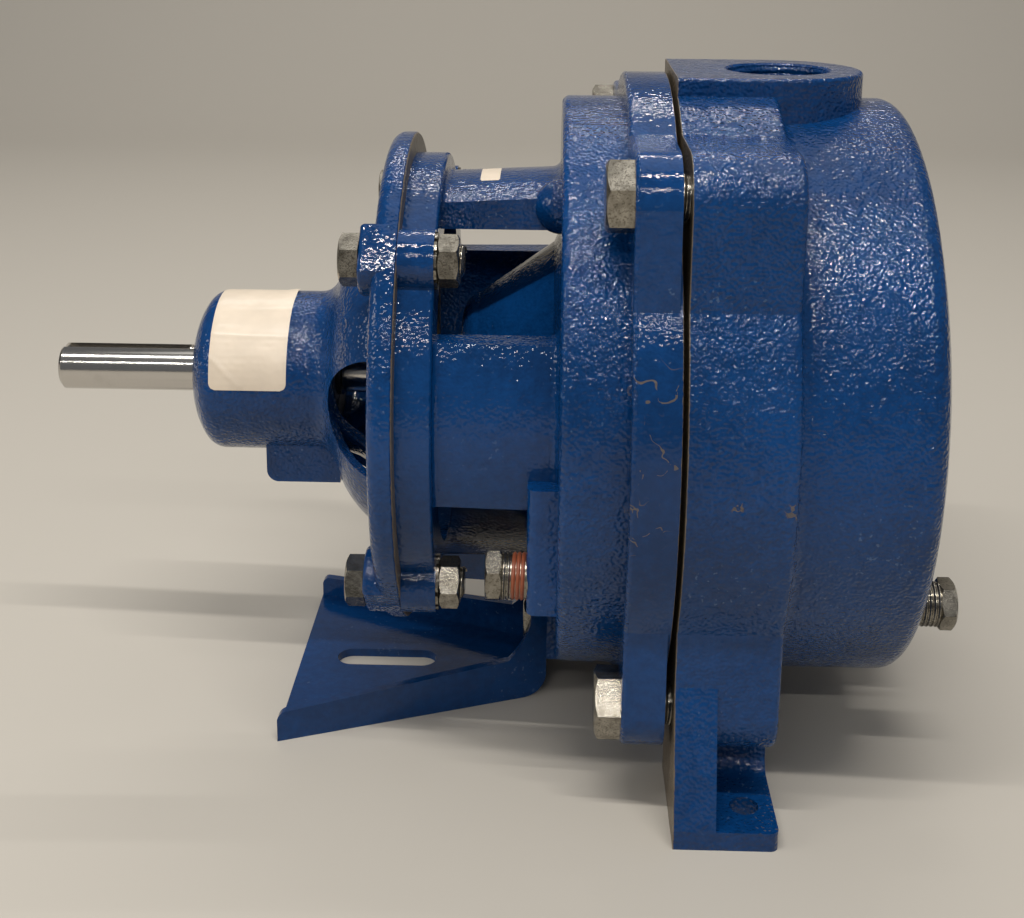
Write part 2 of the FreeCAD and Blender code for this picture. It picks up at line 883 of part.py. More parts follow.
def seal_retainer():
    """Drawn steel shell round the carbon ring and bellows."""
    outer = retainer_radius - retainer_wall / 2
    start = retainer_end - retainer_length
    wall = retainer_wall
    return turned(
        (start, outer),
        (retainer_end + wall, outer),
        (retainer_end + wall, seal_shaft_radius + 0.8),
        (retainer_end, seal_shaft_radius + 0.8),
        (retainer_end, outer - wall),
        (start, outer - wall),
    )


def seal_spring():
    """Coil spring between the retainer and the impeller hub, its wire drawn with even flats."""
    start = retainer_end + retainer_wall + spring_wire_radius + 0.02
    end = impeller_back - impeller_hub_length - spring_wire_radius - 0.02
    pitch = (end - start) / spring_coils
    helix = Part.makeHelix(pitch, end - start, spring_mean_radius)
    helix.rotate(MIDDLE, ACROSS, 90)
    helix.translate(Vector(start, 0, 0))
    first = helix.Edges[0]
    begin = first.valueAt(first.FirstParameter)
    heading = first.tangentAt(first.FirstParameter)
    outward = Vector(0, begin.y, begin.z).normalize()
    sideways = heading.cross(outward).normalize()
    section = []
    for number in range(spring_wire_sides + 1):
        angle = 2 * math.pi * number / spring_wire_sides
        offset = outward * math.cos(angle) + sideways * math.sin(angle)
        section.append(begin + offset * spring_wire_radius)
    return Part.Wire(helix).makePipeShell([Part.makePolygon(section)], True, True)


# Impeller and guide vanes


def curved_vane(start, end, inner_radius, outer_radius, sweep, thickness, inlet_share):
    """One vane between two radii, bent back through an angle and of even thickness."""

    def camber(offset):
        points = []
        count = 7
        for number in range(count):
            share = number / (count - 1)
            radius = inner_radius + (outer_radius - inner_radius) * share
            turn = math.radians(sweep) * share ** inlet_share
            step = offset / radius
            points.append(Vector(start, -radius * math.cos(turn + step), radius * math.sin(turn + step)))
        curve = Part.BSplineCurve()
        curve.interpolate(points)
        return curve.toShape(), points

    spread = thickness / math.cos(math.radians(sweep) * 0.55)
    leading, front = camber(-spread / 2)
    trailing, back = camber(spread / 2)
    inlet = Part.makeLine(front[0], back[0])
    outlet = Part.makeLine(front[-1], back[-1])
    face = Part.Face(Part.Wire(Part.__sortEdges__([leading, outlet, trailing, inlet])))
    return face.extrude(Vector(end - start, 0, 0))


def impeller():
    """Closed impeller: two shrouds with backward-curved vanes between, an eye neck and a hub."""
    front_shroud = impeller_front - impeller_shroud
    passage_start = impeller_back + impeller_shroud
    vanes = []
    vane = curved_vane(
        passage_start - 0.5,
        front_shroud + 0.5,
        impeller_vane_start_radius,
        impeller_radius - 0.8,
        impeller_vane_sweep,
        impeller_vane_thickness,
        0.85,
    )
    for number in range(impeller_vanes):
        vanes.append(rotated(vane, 360 * number / impeller_vanes))
    hub_start = impeller_back - impeller_hub_length
    bore = insert_radius
    core = turned(
        (hub_start, bore),
        (hub_start, impeller_hub_radius),
        (impeller_back, impeller_hub_radius),
        (impeller_back, impeller_radius),
        (passage_start, impeller_radius),
        (passage_start, impeller_hub_radius + 5),
        (
            (passage_start + impeller_passage * 0.35, impeller_hub_radius + 1),
            (passage_start + impeller_passage + 1, bore + 1.5),
        ),
        (passage_start + impeller_passage + 1, bore),
    )
    front = turned(
        (front_shroud, impeller_eye_radius + 1),
        (front_shroud, impeller_radius),
        (impeller_front, impeller_radius),
        (impeller_front, impeller_neck_radius),
        (neck_end, impeller_neck_radius),
        (neck_end, impeller_eye_radius),
        (impeller_front, impeller_eye_radius),
    )
    body = core.fuse(vanes + [front])
    return body.removeSplitter()


def impeller_insert():
    """Brass insert, moulded into the hub, that screws on to the shaft."""
    start = impeller_back - impeller_hub_length
    end = impeller_back + impeller_shroud + impeller_passage + 1
    bore = impeller_thread_diameter / 2 + thread_clearance
    return tube(start, end, insert_radius, bore)


def guide_vane():
    """Diffuser: a plate with curved vanes round the impeller and a sleeve to the suction tube."""
    plate_end = guide_plate_x + guide_plate_thickness
    outer = chamber_radius - sliding_clearance
    bore = wear_ring_radius + press_clearance
    body = turned(
        (guide_plate_x, bore),
        (guide_plate_x, outer),
        (plate_end, outer),
        (plate_end, guide_sleeve_radius + 4),
        (plate_end + 4, guide_sleeve_radius),
        (guide_sleeve_end, guide_sleeve_radius),
        (guide_sleeve_end, guide_sleeve_radius - guide_sleeve_wall),
        (neck_end + 1, guide_sleeve_radius - guide_sleeve_wall),
        (neck_end + 1, impeller_eye_radius + 1),
        (neck_end + 0.7, impeller_eye_radius + 1),
        (neck_end + 0.7, bore),
    )
    vane = curved_vane(
        chamber_floor,
        guide_plate_x + 0.5,
        impeller_radius + 2.5,
        outer - 0.2,
        guide_vane_sweep,
        guide_vane_thickness,
        1.15,
    )
    vanes = [rotated(vane, 360 * number / guide_vanes) for number in range(guide_vanes)]
    return body.fuse(vanes).removeSplitter()


def wear_ring():
    """Steel ring in the guide vane plate that the impeller's neck runs in."""
    return tube(guide_plate_x, neck_end + 0.7, wear_ring_radius, wear_ring_radius - wear_ring_wall)


def guide_seal_ring():
    """Rubber ring between the guide vane's sleeve and the casing's suction tube."""
    centre = Vector(guide_sleeve_end + seal_ring_radius + seal_ring_clearance, 0, 0)
    return Part.makeTorus(guide_sleeve_radius - guide_sleeve_wall / 2, seal_ring_radius, centre, ALONG)


# Casing


def domed_drum(start, radius, knuckle, crown):
    """The round drum and its domed end, turned as one solid."""
    corner_r = radius - knuckle
    corner_x = dome_centre_x + math.sqrt((crown - knuckle) ** 2 - corner_r**2)
    blend = math.degrees(math.atan2(corner_r, corner_x - dome_centre_x))
    last = 2.0
    return turned(
        (start, 0),
        (start, radius),
        (corner_x, radius),
        quarter(corner_x, corner_r, knuckle, 90, blend),
        quarter(dome_centre_x, 0, crown, blend, last),
        (dome_centre_x + crown * math.cos(math.radians(last)), 0),
    )


def drum_root():
    """The cast fillet where the drum leaves the block."""
    outer = drum_radius + drum_root_radius
    return turned(
        (block_end - 1, drum_radius - 1),
        (block_end - 1, outer),
        (block_end, outer),
        quarter(block_end + drum_root_radius, outer, drum_root_radius, 180, 270),
        (block_end + drum_root_radius, drum_radius - 1),
    )


def dome_face(radius):
    """Where the outside of the dome lies along the shaft, at a radius."""
    return dome_centre_x + math.sqrt(dome_crown_radius**2 - radius**2)


def port_pad():
    """The discharge pad: straight behind the joint face, round about the port."""
    low = drum_radius * 0.6
    height = port_pad_top - low
    round_end = upright(port_pad_radius, low, port_pad_top, port_x, 0)
    straight = block((casing_face, port_x), (-port_pad_radius, port_pad_radius), (low, port_pad_top))
    pad = round_end.fuse(straight).removeSplitter()
    top = edges_where(pad, lambda p: p.z > low + height - 1e-3 and p.x > casing_face + 1e-3)
    top += edges_where(pad, lambda p: p.z > low + height - 1e-3 and abs(abs(p.y) - port_pad_radius) < 1e-3)
    unique = {edge.hashCode(): edge for edge in top}
    return pad.makeFillet(port_pad_edge_radius, list(unique.values()))


def end_pad():
    """The long pad on the domed end that holds the suction and drive ports."""
    start = end_pad_face - end_pad_depth
    upper = rod(start, end_pad_face, end_pad_half_width)
    lower = rod(start, end_pad_face, end_pad_half_width, 0, -drive_port_drop)
    middle = block(
        (start, end_pad_face),
        (-end_pad_half_width, end_pad_half_width),
        (-drive_port_drop, 0),
    )
    return upper.fuse([lower, middle]).removeSplitter()


def foot(side):
    """One mounting foot: a cheek below the ear, a back wall and the plate with its bolt hole."""
    bottom = -axis_height
    plate_top = bottom + foot_plate_thickness
    inner = foot_inner_edge
    wall = foot_wall_edge
    ear_middle = -casing_bolt_offset

    def slab(outline, start, end):
        points = [Vector(start, side * y, z) for y, z in outline]
        return Part.Face(Part.makePolygon(points + points[:1])).extrude(Vector(end - start, 0, 0))

    cheek = slab(
        [
            (ear_edge, -cheek_top),
            (foot_half_width, plate_top),
            (foot_half_width, bottom),
            (inner, bottom),
            (inner, ear_middle),
            (casing_bolt_offset, ear_middle),
            (casing_bolt_offset, -cheek_top),
        ],
        casing_face,
        casing_face + cheek_thickness,
    )
    plate = slab(
        [(inner, bottom), (foot_half_width, bottom), (foot_half_width, plate_top), (inner, plate_top)],
        casing_face,
        block_end,
    )
    rounded = edges_where(plate, lambda p: p.x > block_end - 1e-3 and abs(p.y) > foot_half_width - 1e-3)
    plate = plate.makeFillet(foot_corner_radius, rounded)
    back = slab(
        [(inner, bottom), (wall, bottom), (wall, ear_middle), (inner, ear_middle)],
        casing_face,
        block_end,
    )
    root = block(
        (casing_face, block_end),
        sorted((side * wall, side * (wall + foot_root_radius))),
        (plate_top, plate_top + foot_root_radius),
    )
    root = root.cut(
        rod(
            casing_face - 1,
            block_end + 1,
            foot_root_radius,
            side * (wall + foot_root_radius),
            plate_top + foot_root_radius,
        )
    )
    hole = upright(
        foot_hole_diameter / 2,
        bottom - 1,
        plate_top + 1,
        casing_face + foot_hole_from_face,
        side * foot_hole_y,
    )
    return cheek.fuse([plate, back, root]).cut(hole)


def base_web():
    """The wall behind the joint face that joins the two feet, relieved at the middle."""
    web = block(
        (casing_face + base_web_setback, casing_face + cheek_thickness),
        (-foot_inner_edge - 1, foot_inner_edge + 1),
        (-axis_height, -casing_bolt_offset),
    )
    relief = block(
        (casing_face - 1, block_end),
        (-base_relief_half_width, base_relief_half_width),
        (-axis_height - 1, -axis_height + base_relief_height),
    )
    ends = edges_where(relief, lambda p: abs(abs(p.y) - base_relief_half_width) < 1e-3)
    upper = [edge for edge in ends if edge.CenterOfMass.z > -axis_height + base_relief_height - 1e-3]
    return web.cut(relief.makeFillet(base_relief_height * 0.8, upper))


def port_cutter(radius, depth):
    """A tapped port's hole along X with a chamfered mouth at the origin."""
    return turned(
        (-depth, 0),
        (-depth, radius),
        (-port_chamfer, radius),
        (1, radius + port_chamfer + 1),
        (1, 0),
    )


def casing():
    body = lobed_body(casing_face, block_end, block_end)
    body = body.makeFillet(block_edge_radius, edges_where(body, at_x(block_end)))
    pad = end_pad()
    rounded_pad = pad.makeFillet(end_pad_edge_radius, edges_where(pad, lambda p: p.x > end_pad_face - 1e-3))
    outside = domed_drum(block_end - 1, drum_radius, dome_knuckle_radius, dome_crown_radius)
    body = body.fuse([outside, drum_root(), port_pad(), rounded_pad, foot(-1), foot(1), base_web()])
    hollow = domed_drum(
        ledge_x + ledge_depth,
        drum_radius - drum_wall,
        cavity_corner_radius,
        dome_crown_radius - drum_wall,
    )
    hollow = hollow.cut(pad)
    hollow = hollow.cut(rod(block_end, end_pad_face, suction_tube_radius))
    body = body.cut(hollow)
    body = body.cut(rod(casing_face - 1, ledge_x, spigot_radius + sliding_clearance))
    body = body.cut(rod(ledge_x - 1, ledge_x + ledge_depth + 1, spigot_radius - gasket_width))
    socket_end = guide_sleeve_end + 2 * (seal_ring_radius + seal_ring_clearance)
    discharge = port_cutter(discharge_radius, port_pad_top - drum_radius + drum_wall + 12)
    discharge.rotate(MIDDLE, ACROSS, -90)
    discharge.translate(Vector(port_x, 0, port_pad_top))
    suction = port_cutter(suction_radius, suction_thread_length)
    suction.translate(Vector(end_pad_face, 0, 0))
    drive = port_cutter(drive_port_radius, end_pad_depth + 1)
    drive.translate(Vector(end_pad_face, 0, -drive_port_drop))
    drain_face = dome_face(math.hypot(drain_plug_y, drain_plug_z))
    drain_hole = pipe_plug_radius + thread_clearance
    cuts = [
        rod(block_end - 1, end_pad_face + 1, suction_passage_radius),
        rod(block_end - 1, socket_end, guide_sleeve_radius + sliding_clearance),
        suction,
        drive,
        discharge,
        rod(drain_face - 2 * drum_wall, end_pad_face, drain_hole, -drain_plug_y, -drain_plug_z),
    ]
    tap_end = casing_face + casing_bolt_engagement + tap_overrun
    for y, z in corners(casing_bolt_offset):
        cuts.append(rod(casing_face - 1, tap_end, casing_bolt_diameter / 2 + thread_clearance, y, z))
    for cutter in cuts:
        body = body.cut(cutter)
    return body.removeSplitter()


def casing_gasket():
    return tube(spigot_end, ledge_x, spigot_radius, spigot_radius - gasket_width)


# Fasteners


def hex_bolt(head_start, head_height, shank_end, diameter, across_flats, y, z, turn):
    """A hexagon-head bolt that points along +X."""
    head = chamfered_hexagon(head_start, head_start + head_height, across_flats, y, z, turn, True, False)
    radius = diameter / 2
    tip = 1.0
    shank = turned(
        (head_start + 1, 0),
        (head_start + 1, radius),
        (shank_end - tip, radius),
        (shank_end, radius - tip),
        (shank_end, 0),
    )
    shank.translate(Vector(0, y, z))
    return head.fuse(shank).removeSplitter()


def frame_bolts():
    seat = -frame_flange_thickness - bolt_pad_height
    end = adapter_flange_thickness + star_washer_thickness + frame_nut_height + frame_bolt_protrusion
    bolts = []
    for (y, z), turn in zip(corners(frame_bolt_offset), frame_head_turns):
        bolts.append(
            hex_bolt(
                seat - frame_bolt_head_height,
                frame_bolt_head_height,
                end,
                frame_bolt_diameter,
                frame_bolt_across_flats,
                y,
                z,
                turn,
            )
        )
    return bolts


def frame_nuts():
    start = adapter_flange_thickness + star_washer_thickness
    nuts = []
    for (y, z), turn in zip(corners(frame_bolt_offset), frame_nut_turns):
        nut = chamfered_hexagon(
            start, start + frame_nut_height, frame_bolt_across_flats, y, z, turn, True, True
        )
        bore = frame_bolt_diameter / 2 + thread_clearance
        nuts.append(nut.cut(rod(start - 1, start + frame_nut_height + 1, bore, y, z)))
    return nuts


def frame_star_washers():
    start = adapter_flange_thickness
    end = start + star_washer_thickness
    washers = []
    for y, z in corners(frame_bolt_offset):
        washer = tube(start, end, star_washer_radius, frame_bolt_diameter / 2 + thread_clearance, y, z)
        notches = []
        for number in range(star_washer_teeth):
            notch = block(
                (start - 1, end + 1),
                (-star_notch_width / 2, star_notch_width / 2),
                (star_washer_radius - star_tooth_depth, star_washer_radius + 1),
            )
            notches.append(rotated(notch, 360 * number / star_washer_teeth))
        cutter = Part.makeCompound(notches)
        cutter.translate(Vector(0, y, z))
        washers.append(washer.cut(cutter.Solids))
    return washers


def casing_bolts():
    bolts = []
    for (y, z), turn in zip(corners(casing_bolt_offset), casing_head_turns):
        bolts.append(
            hex_bolt(
                flange_start - casing_bolt_head_height,
                casing_bolt_head_height,
                casing_face + casing_bolt_engagement,
                casing_bolt_diameter,
                casing_bolt_across_flats,
                y,
                z,
                turn,
            )
        )
    return bolts


def pipe_plug(hex_start, hex_end, thread_end, y, z, turn):
    """A hexagon-head pipe plug along X, its thread on the side of thread_end."""
    low, high = sorted((hex_start, hex_end))
    head = chamfered_hexagon(low, high, pipe_plug_across_flats, y, z, turn, True, True)
    start = min(hex_end, thread_end)
    thread = rod(start, max(hex_end, thread_end), pipe_plug_radius, y, z)
    return head.fuse(thread).removeSplitter()


def adapter_plug():
    face = disc_face - plug_boss_height
    hex_end = face - adapter_plug_exposed
    return pipe_plug(
        hex_end - pipe_plug_hex_height,
        hex_end,
        face + pipe_plug_engagement,
        -adapter_plug_y,
        -adapter_plug_z,
        0,
    )


def drain_plug():
    surface = dome_face(math.hypot(drain_plug_y, drain_plug_z))
    hex_start = surface + drain_plug_exposed
    return pipe_plug(
        hex_start + pipe_plug_hex_height,
        hex_start,
        surface - pipe_plug_engagement,
        -drain_plug_y,
        -drain_plug_z,
        28.0,
    )


def bracket_bolts():
    head = lug_face - bracket_thickness - bracket_bolt_head_height
    bolts = []
    for side, turn in ((-1, 12.0), (1, -8.0)):
        bolts.append(
            hex_bolt(
                head,
                bracket_bolt_head_height,
                lug_face + bracket_bolt_engagement - 1,
                bracket_bolt_diameter,
                bracket_bolt_across_flats,
                side * bracket_bolt_spacing / 2,
                -bracket_bolt_drop,
                turn,
            )
        )
    return bolts


# Support bracket


def side_wall_profile():
    """Side view of a bracket lip that grows into a gusset beside the leg."""
    bottom = -axis_height
    left_top = bottom + bracket_lip_height
    right_top = left_top + bracket_lip_rise
    gusset_x = lug_face - bracket_gusset_reach
    top_x = lug_face - bracket_gusset_top_width
    corner = bracket_lip_corner
    start = Vector(bracket_left, 0, bottom)
    lip_left = Vector(bracket_left, 0, left_top - corner)
    lip_mid = Vector(bracket_left + corner * 0.3, 0, left_top - corner * 0.3)
    lip_top = Vector(bracket_left + corner, 0, left_top)
    gusset_low = Vector(gusset_x, 0, right_top)
    gusset_mid = Vector(gusset_x + (top_x - gusset_x) * 0.66, 0, right_top + bracket_gusset_reach * 0.5)
    gusset_high = Vector(top_x, 0, right_top + bracket_gusset_reach)
    leg_top = Vector(top_x, 0, -bracket_leg_top)
    leg_back = Vector(lug_face, 0, -bracket_leg_top)
    end = Vector(lug_face, 0, bottom)
    edges = [
        Part.makeLine(start, lip_left),
        Part.Arc(lip_left, lip_mid, lip_top).toShape(),
        Part.makeLine(lip_top, gusset_low),
        Part.Arc(gusset_low, gusset_mid, gusset_high).toShape(),
        Part.makeLine(gusset_high, leg_top),
        Part.makeLine(leg_top, leg_back),
        Part.makeLine(leg_back, end),
        Part.makeLine(end, start),
    ]
    face = Part.Face(Part.Wire(edges))
    face.translate(Vector(0, -bracket_wide_half - 5, 0))
    return face.extrude(Vector(0, 2 * bracket_wide_half + 10, 0))


def bracket_plan(inset):
    """The bracket's tapered plan as a tall prism, its long sides moved in by the inset."""
    slope = (bracket_wide_half - bracket_narrow_half) / bracket_length
    shift = inset * math.hypot(1, slope)
    left = bracket_left - (1 if inset else 0)
    right = lug_face + (1 if inset else 0)
    wide = bracket_narrow_half + slope * (lug_face - left) - shift
    narrow = bracket_narrow_half + slope * (lug_face - right) - shift
    plan = [(left, -wide), (right, -narrow), (right, narrow), (left, wide), (left, -wide)]
    low = -axis_height - (1 if inset else 0)
    face = Part.Face(Part.makePolygon([Vector(x, y, low) for x, y in plan]))
    return face.extrude(Vector(0, 0, axis_height))


def support_bracket():
    """Pressed steel foot: a slotted base plate with upturned lips and a bolted leg."""
    inner = bracket_bend_radius - bracket_thickness
    bottom = -axis_height
    solid = block(
        (bracket_left, lug_face),
        (-bracket_wide_half, bracket_wide_half),
        (bottom, -bracket_leg_top),
    )
    heel = edges_where(solid, lambda p: p.z < bottom + 1e-3 and p.x > lug_face - 1e-3)
    solid = solid.makeFillet(bracket_bend_radius, heel)
    space = block(
        (bracket_left - 1, lug_face - bracket_thickness),
        (-bracket_wide_half - 1, bracket_wide_half + 1),
        (bottom + bracket_thickness, -bracket_leg_top + 1),
    )
    bend = edges_where(
        space, lambda p: p.z < bottom + bracket_thickness + 1e-3 and p.x > lug_face - bracket_thickness - 1e-3
    )
    space = space.makeFillet(inner, bend)
    angle = solid.cut(space).common(bracket_plan(0))
    lips = bracket_plan(0).cut(bracket_plan(bracket_thickness)).common(side_wall_profile()).common(solid)
    bracket = angle.fuse(lips)
    middle = bracket_left + slot_from_left + slot_length / 2
    half = (slot_length - slot_width) / 2
    slot = block((middle - half, middle + half), (-slot_width / 2, slot_width / 2), (bottom - 1, bottom + 10))
    ends = [upright(slot_width / 2, bottom - 1, bottom + 10, middle + sign * half, 0) for sign in (-1, 1)]
    holes = []
    for side in (-1, 1):
        y = side * bracket_bolt_spacing / 2
        hole = bracket_bolt_diameter / 2 + hole_clearance
        holes.append(rod(lug_face - 10, lug_face + 1, hole, y, -bracket_bolt_drop))
    return bracket.cut([slot] + ends + holes).removeSplitter()


def main():
    os.makedirs("parts", exist_ok=True)
    written("bearing_frame", bearing_frame())
    written("shaft", shaft())
    written("drive_end_lip_seal", lip_seal())
    for name, x in (("outboard", outboard_bearing_x), ("inboard", inboard_bearing_x)):
        written(name + "_bearing_outer_ring", outer_ring(x))
        written(name + "_bearing_inner_ring", inner_ring(x))
        written(name + "_bearing_balls", *balls(x))
        written(name + "_bearing_cage", cage(x))
    written("bearing_retaining_ring", bearing_retaining_ring())
    written("shaft_snap_ring", shaft_snap_ring())
    written("slinger", slinger())
    written("adapter", adapter())
    written("seal_seat_cup", seal_seat_cup())
    written("seal_seat", seal_seat())
    written("seal_carbon", seal_carbon())
    written("seal_bellows", seal_bellows())
    written("seal_retainer", seal_retainer())
    written("seal_spring", seal_spring())
    written("impeller", impeller())
    written("impeller_insert", impeller_insert())
    written("guide_vane", guide_vane())
    written("wear_ring", wear_ring())
    written("guide_seal_ring", guide_seal_ring())
    written("casing", casing())
    written("casing_gasket", casing_gasket())
    written("frame_bolts", *frame_bolts())
    written("frame_nuts", *frame_nuts())
    written("frame_star_washers", *frame_star_washers())
    written("casing_bolts", *casing_bolts())
    written("adapter_plug", adapter_plug())
    written("casing_drain_plug", drain_plug())
    written("support_bracket", support_bracket())
    written("bracket_bolts", *bracket_bolts())


main()
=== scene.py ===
import math

import bmesh
import bpy
from bpy.props import FloatProperty, FloatVectorProperty, IntProperty, PointerProperty
from mathutils import Matrix, Vector, noise as field
from mathutils.bvhtree import BVHTree
from mathutils.geometry import interpolate_bezier


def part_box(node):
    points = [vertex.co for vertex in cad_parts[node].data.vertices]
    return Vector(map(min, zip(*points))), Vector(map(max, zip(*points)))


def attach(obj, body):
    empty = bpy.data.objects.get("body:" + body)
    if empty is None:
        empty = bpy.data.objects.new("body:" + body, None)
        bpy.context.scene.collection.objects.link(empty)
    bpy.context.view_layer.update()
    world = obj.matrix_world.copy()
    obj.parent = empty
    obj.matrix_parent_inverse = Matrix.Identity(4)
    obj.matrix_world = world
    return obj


bl_info = {
    "name": "Jet well pump",
    "version": (1, 0, 0),
    "blender": (4, 5, 0),
    "location": "3D View > Sidebar > Pump",
    "description": "Dresses the jet well pump: cast paint, plated bolts, threads, labels and the stage",
    "category": "Object",
}

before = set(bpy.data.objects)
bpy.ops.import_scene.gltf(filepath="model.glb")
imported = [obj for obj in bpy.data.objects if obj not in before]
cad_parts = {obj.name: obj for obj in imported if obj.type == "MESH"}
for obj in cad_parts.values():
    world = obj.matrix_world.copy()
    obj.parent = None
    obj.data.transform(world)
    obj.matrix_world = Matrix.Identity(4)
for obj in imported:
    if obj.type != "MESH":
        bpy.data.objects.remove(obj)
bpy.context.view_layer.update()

# Places on the pump, in metres. The datums are the shaft's axis, the face where the bearing frame
# meets the adapter, and the faces where the adapter and the casing meet.
AXIS_HEIGHT = 0.1125
FRAME_REGISTER = 0.0038
ADAPTER_SPIGOT = 0.0067
FLANGE_RADIUS = 0.1035
JOINT_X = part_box("bearing_frame")[1].x - FRAME_REGISTER
FLANGE_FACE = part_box("adapter")[1].x - ADAPTER_SPIGOT
CASING_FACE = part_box("casing")[0].x
BEYOND = 1.0  # Further from the middle than any end of the pump.

# The bell's wall and its windows. Places are distances from the joint face, with a radius.
BELL_START = -0.033
BELL_WAIST = (-0.024, 0.0373)
BELL_MOUTH = -0.0072
BELL_CURVE_POINTS = 14
BELL_STEPS = 128
BELL_SHARP_ANGLE = 40
WINDOW_DEPTH = 0.16
WINDOW_FACETS = 96

# The bolts' shanks where their threads show, and the bare tip of a frame bolt.
CASING_BOLT_RADIUS = 0.00635
FRAME_BOLT_RADIUS = 0.0046
BOLT_TIP = 0.0003
THREAD_SHARP_ANGLE = 35

# The labels. Each is laid on from a round outside its surface, which has about SURFACE_SHARE of
# the round's radius. Angles are in degrees above the near side.
BARREL_ROUND = 0.03
ARM_ROUND = 0.085
SURFACE_SHARE = 0.7
ARM_LABEL_START = 0.0222
ARM_LABEL_ANGLES = (81, 96)
ARM_LABEL_CORNER = 0.0004
LABEL_COLUMNS = 28
LEAST_ROWS = 8
TOP_GAP = 0.00005
UNDERSIDE_GAP = 0.00003
LABEL_SHARP_ANGLE = 50

# The floor runs back into a cove and up a backdrop.
FLOOR_FRONT = -3.0
FLOOR_BACK = 1.1
FLOOR_SIDE = 4.0
COVE_RADIUS = 0.5
COVE_STEPS = 12
BACKDROP_TOP = 3.0

# Lamps: name, place, length, width and share of the key light's power. All of them face AIM.
AIM = (0.0, 0.0, 0.11)
STRIP_LENGTH = 1.25
STRIP_WIDTH = 0.016
LAMPS = (
    ("front_strip", (-0.04, -1.35, 1.12), STRIP_LENGTH, STRIP_WIDTH, 0.34),
    ("main_strip", (-0.04, -0.52, 1.4), STRIP_LENGTH, STRIP_WIDTH, 1.0),
    ("back_strip", (-0.04, 1.0, 1.3), STRIP_LENGTH, STRIP_WIDTH, 0.38),
    ("top_panel", (0.1, 0.25, 1.4), 1.0, 1.0, 0.17),
    ("left_panel", (-1.3, -0.5, 0.7), 0.5, 0.5, 0.25),
)

# The camera's place, its yaw, pitch and roll in degrees, its picture's shift, its sensor in
# millimetres and its nearest distance.
CAMERA_PLACE = (0.01968, -0.48061, 0.2741)
CAMERA_ANGLES = (1.57, 14.15, 0.45)
CAMERA_SHIFT = -0.1953
SENSOR_WIDTH = 36.0
CLIP_START = 0.01


def colour_property(label, text, value):
    """A colour that a user may change."""
    return FloatVectorProperty(
        name=label, description=text, subtype="COLOR", size=3, min=0.0, max=1.0, default=value
    )


def length_property(label, text, value):
    """A length in metres that a user may change."""
    return FloatProperty(name=label, description=text, unit="LENGTH", min=0.0, default=value)


class PumpPaint(bpy.types.PropertyGroup):
    """Colours and grain of the painted castings."""

    blue: colour_property("Paint", "Colour of the gloss paint", (0.003, 0.049, 0.185))
    deep_blue: colour_property("Thick paint", "Colour where the paint is thick", (0.0015, 0.028, 0.108))
    bare_metal: colour_property("Bare iron", "Colour of machined iron", (0.2, 0.155, 0.105))
    grain: length_property("Grain", "Size of the cast grain under the paint", 0.00105)
    relief: length_property("Relief", "Height of the cast grain", 0.0005)


class PumpHardware(bpy.types.PropertyGroup):
    """Colours of the plated and ground steel pieces."""

    zinc: colour_property("Zinc plate", "Colour of the bolts and nuts", (0.37, 0.345, 0.295))
    shaft_steel: colour_property("Shaft steel", "Colour of the ground shaft", (0.56, 0.54, 0.51))
    sealant: colour_property("Sealant", "Colour of the pipe plug's sealant", (0.28, 0.075, 0.033))


class PumpBell(bpy.types.PropertyGroup):
    """Size of the bell that joins the bearing frame's barrel to its flange."""

    root_radius: length_property("Root radius", "Radius where the bell leaves the barrel", 0.02722)
    mouth_radius: length_property("Mouth radius", "Radius where the bell meets the flange", 0.0552)
    wall: length_property("Wall", "Thickness of the bell's wall at the flange", 0.0055)
    window_radius: length_property("Window radius", "Radius of the bell's windows", 0.02)
    window_centre: length_property("Window place", "Distance of the windows from the joint", 0.006)


class PumpThreads(bpy.types.PropertyGroup):
    """Sizes and places of the threads that show."""

    plug_pitch: length_property("Plug pitch", "Pitch of the pipe plugs' threads", 0.00141)
    port_pitch: length_property("Port pitch", "Pitch of the ports' threads", 0.00221)
    coarse_pitch: length_property("Casing bolt pitch", "Pitch of the casing bolts' threads", 0.00195)
    fine_pitch: length_property("Frame bolt pitch", "Pitch of the frame bolts' threads", 0.00159)
    ridge: length_property("Ridge", "Height of a ridge above its shank", 0.00042)
    plug_radius: length_property("Plug radius", "Radius of the pipe plugs' shanks", 0.00685)
    plug_head: length_property("Plug head", "Height of the pipe plugs' heads", 0.0052)
    plug_exposed: length_property("Plug thread", "Length of thread that stands out of the boss", 0.0073)
    sealed: length_property("Sealant", "Length of the plug's thread that is wound with sealant", 0.0043)
    ear_setback: length_property("Ear setback", "How far the ears stand back from the joint face", 0.001)
    casing_circle: length_property("Casing bolt circle", "Diameter of the casing bolts' circle", 0.22225)
    frame_circle: length_property("Frame bolt circle", "Diameter of the frame bolts' circle", 0.1492)
    port_offset: length_property("Port place", "Discharge port's distance from the face", 0.0346)
    port_chamfer: length_property("Port chamfer", "Chamfer at the mouth of the ports", 0.0007)
    port_thread: length_property("Port thread", "Length of the ports' threads", 0.014)
    discharge_radius: length_property("Discharge radius", "Radius of the discharge port", 0.0166)
    suction_radius: length_property("Suction radius", "Radius of the suction port", 0.0211)
    drive_radius: length_property("Drive radius", "Radius of the drive port", 0.0166)
    drive_drop: length_property("Drive port drop", "Distance of the drive port below the shaft", 0.05)
    facets: IntProperty(name="Facets", description="Facets in one turn of a thread", default=36, min=8)


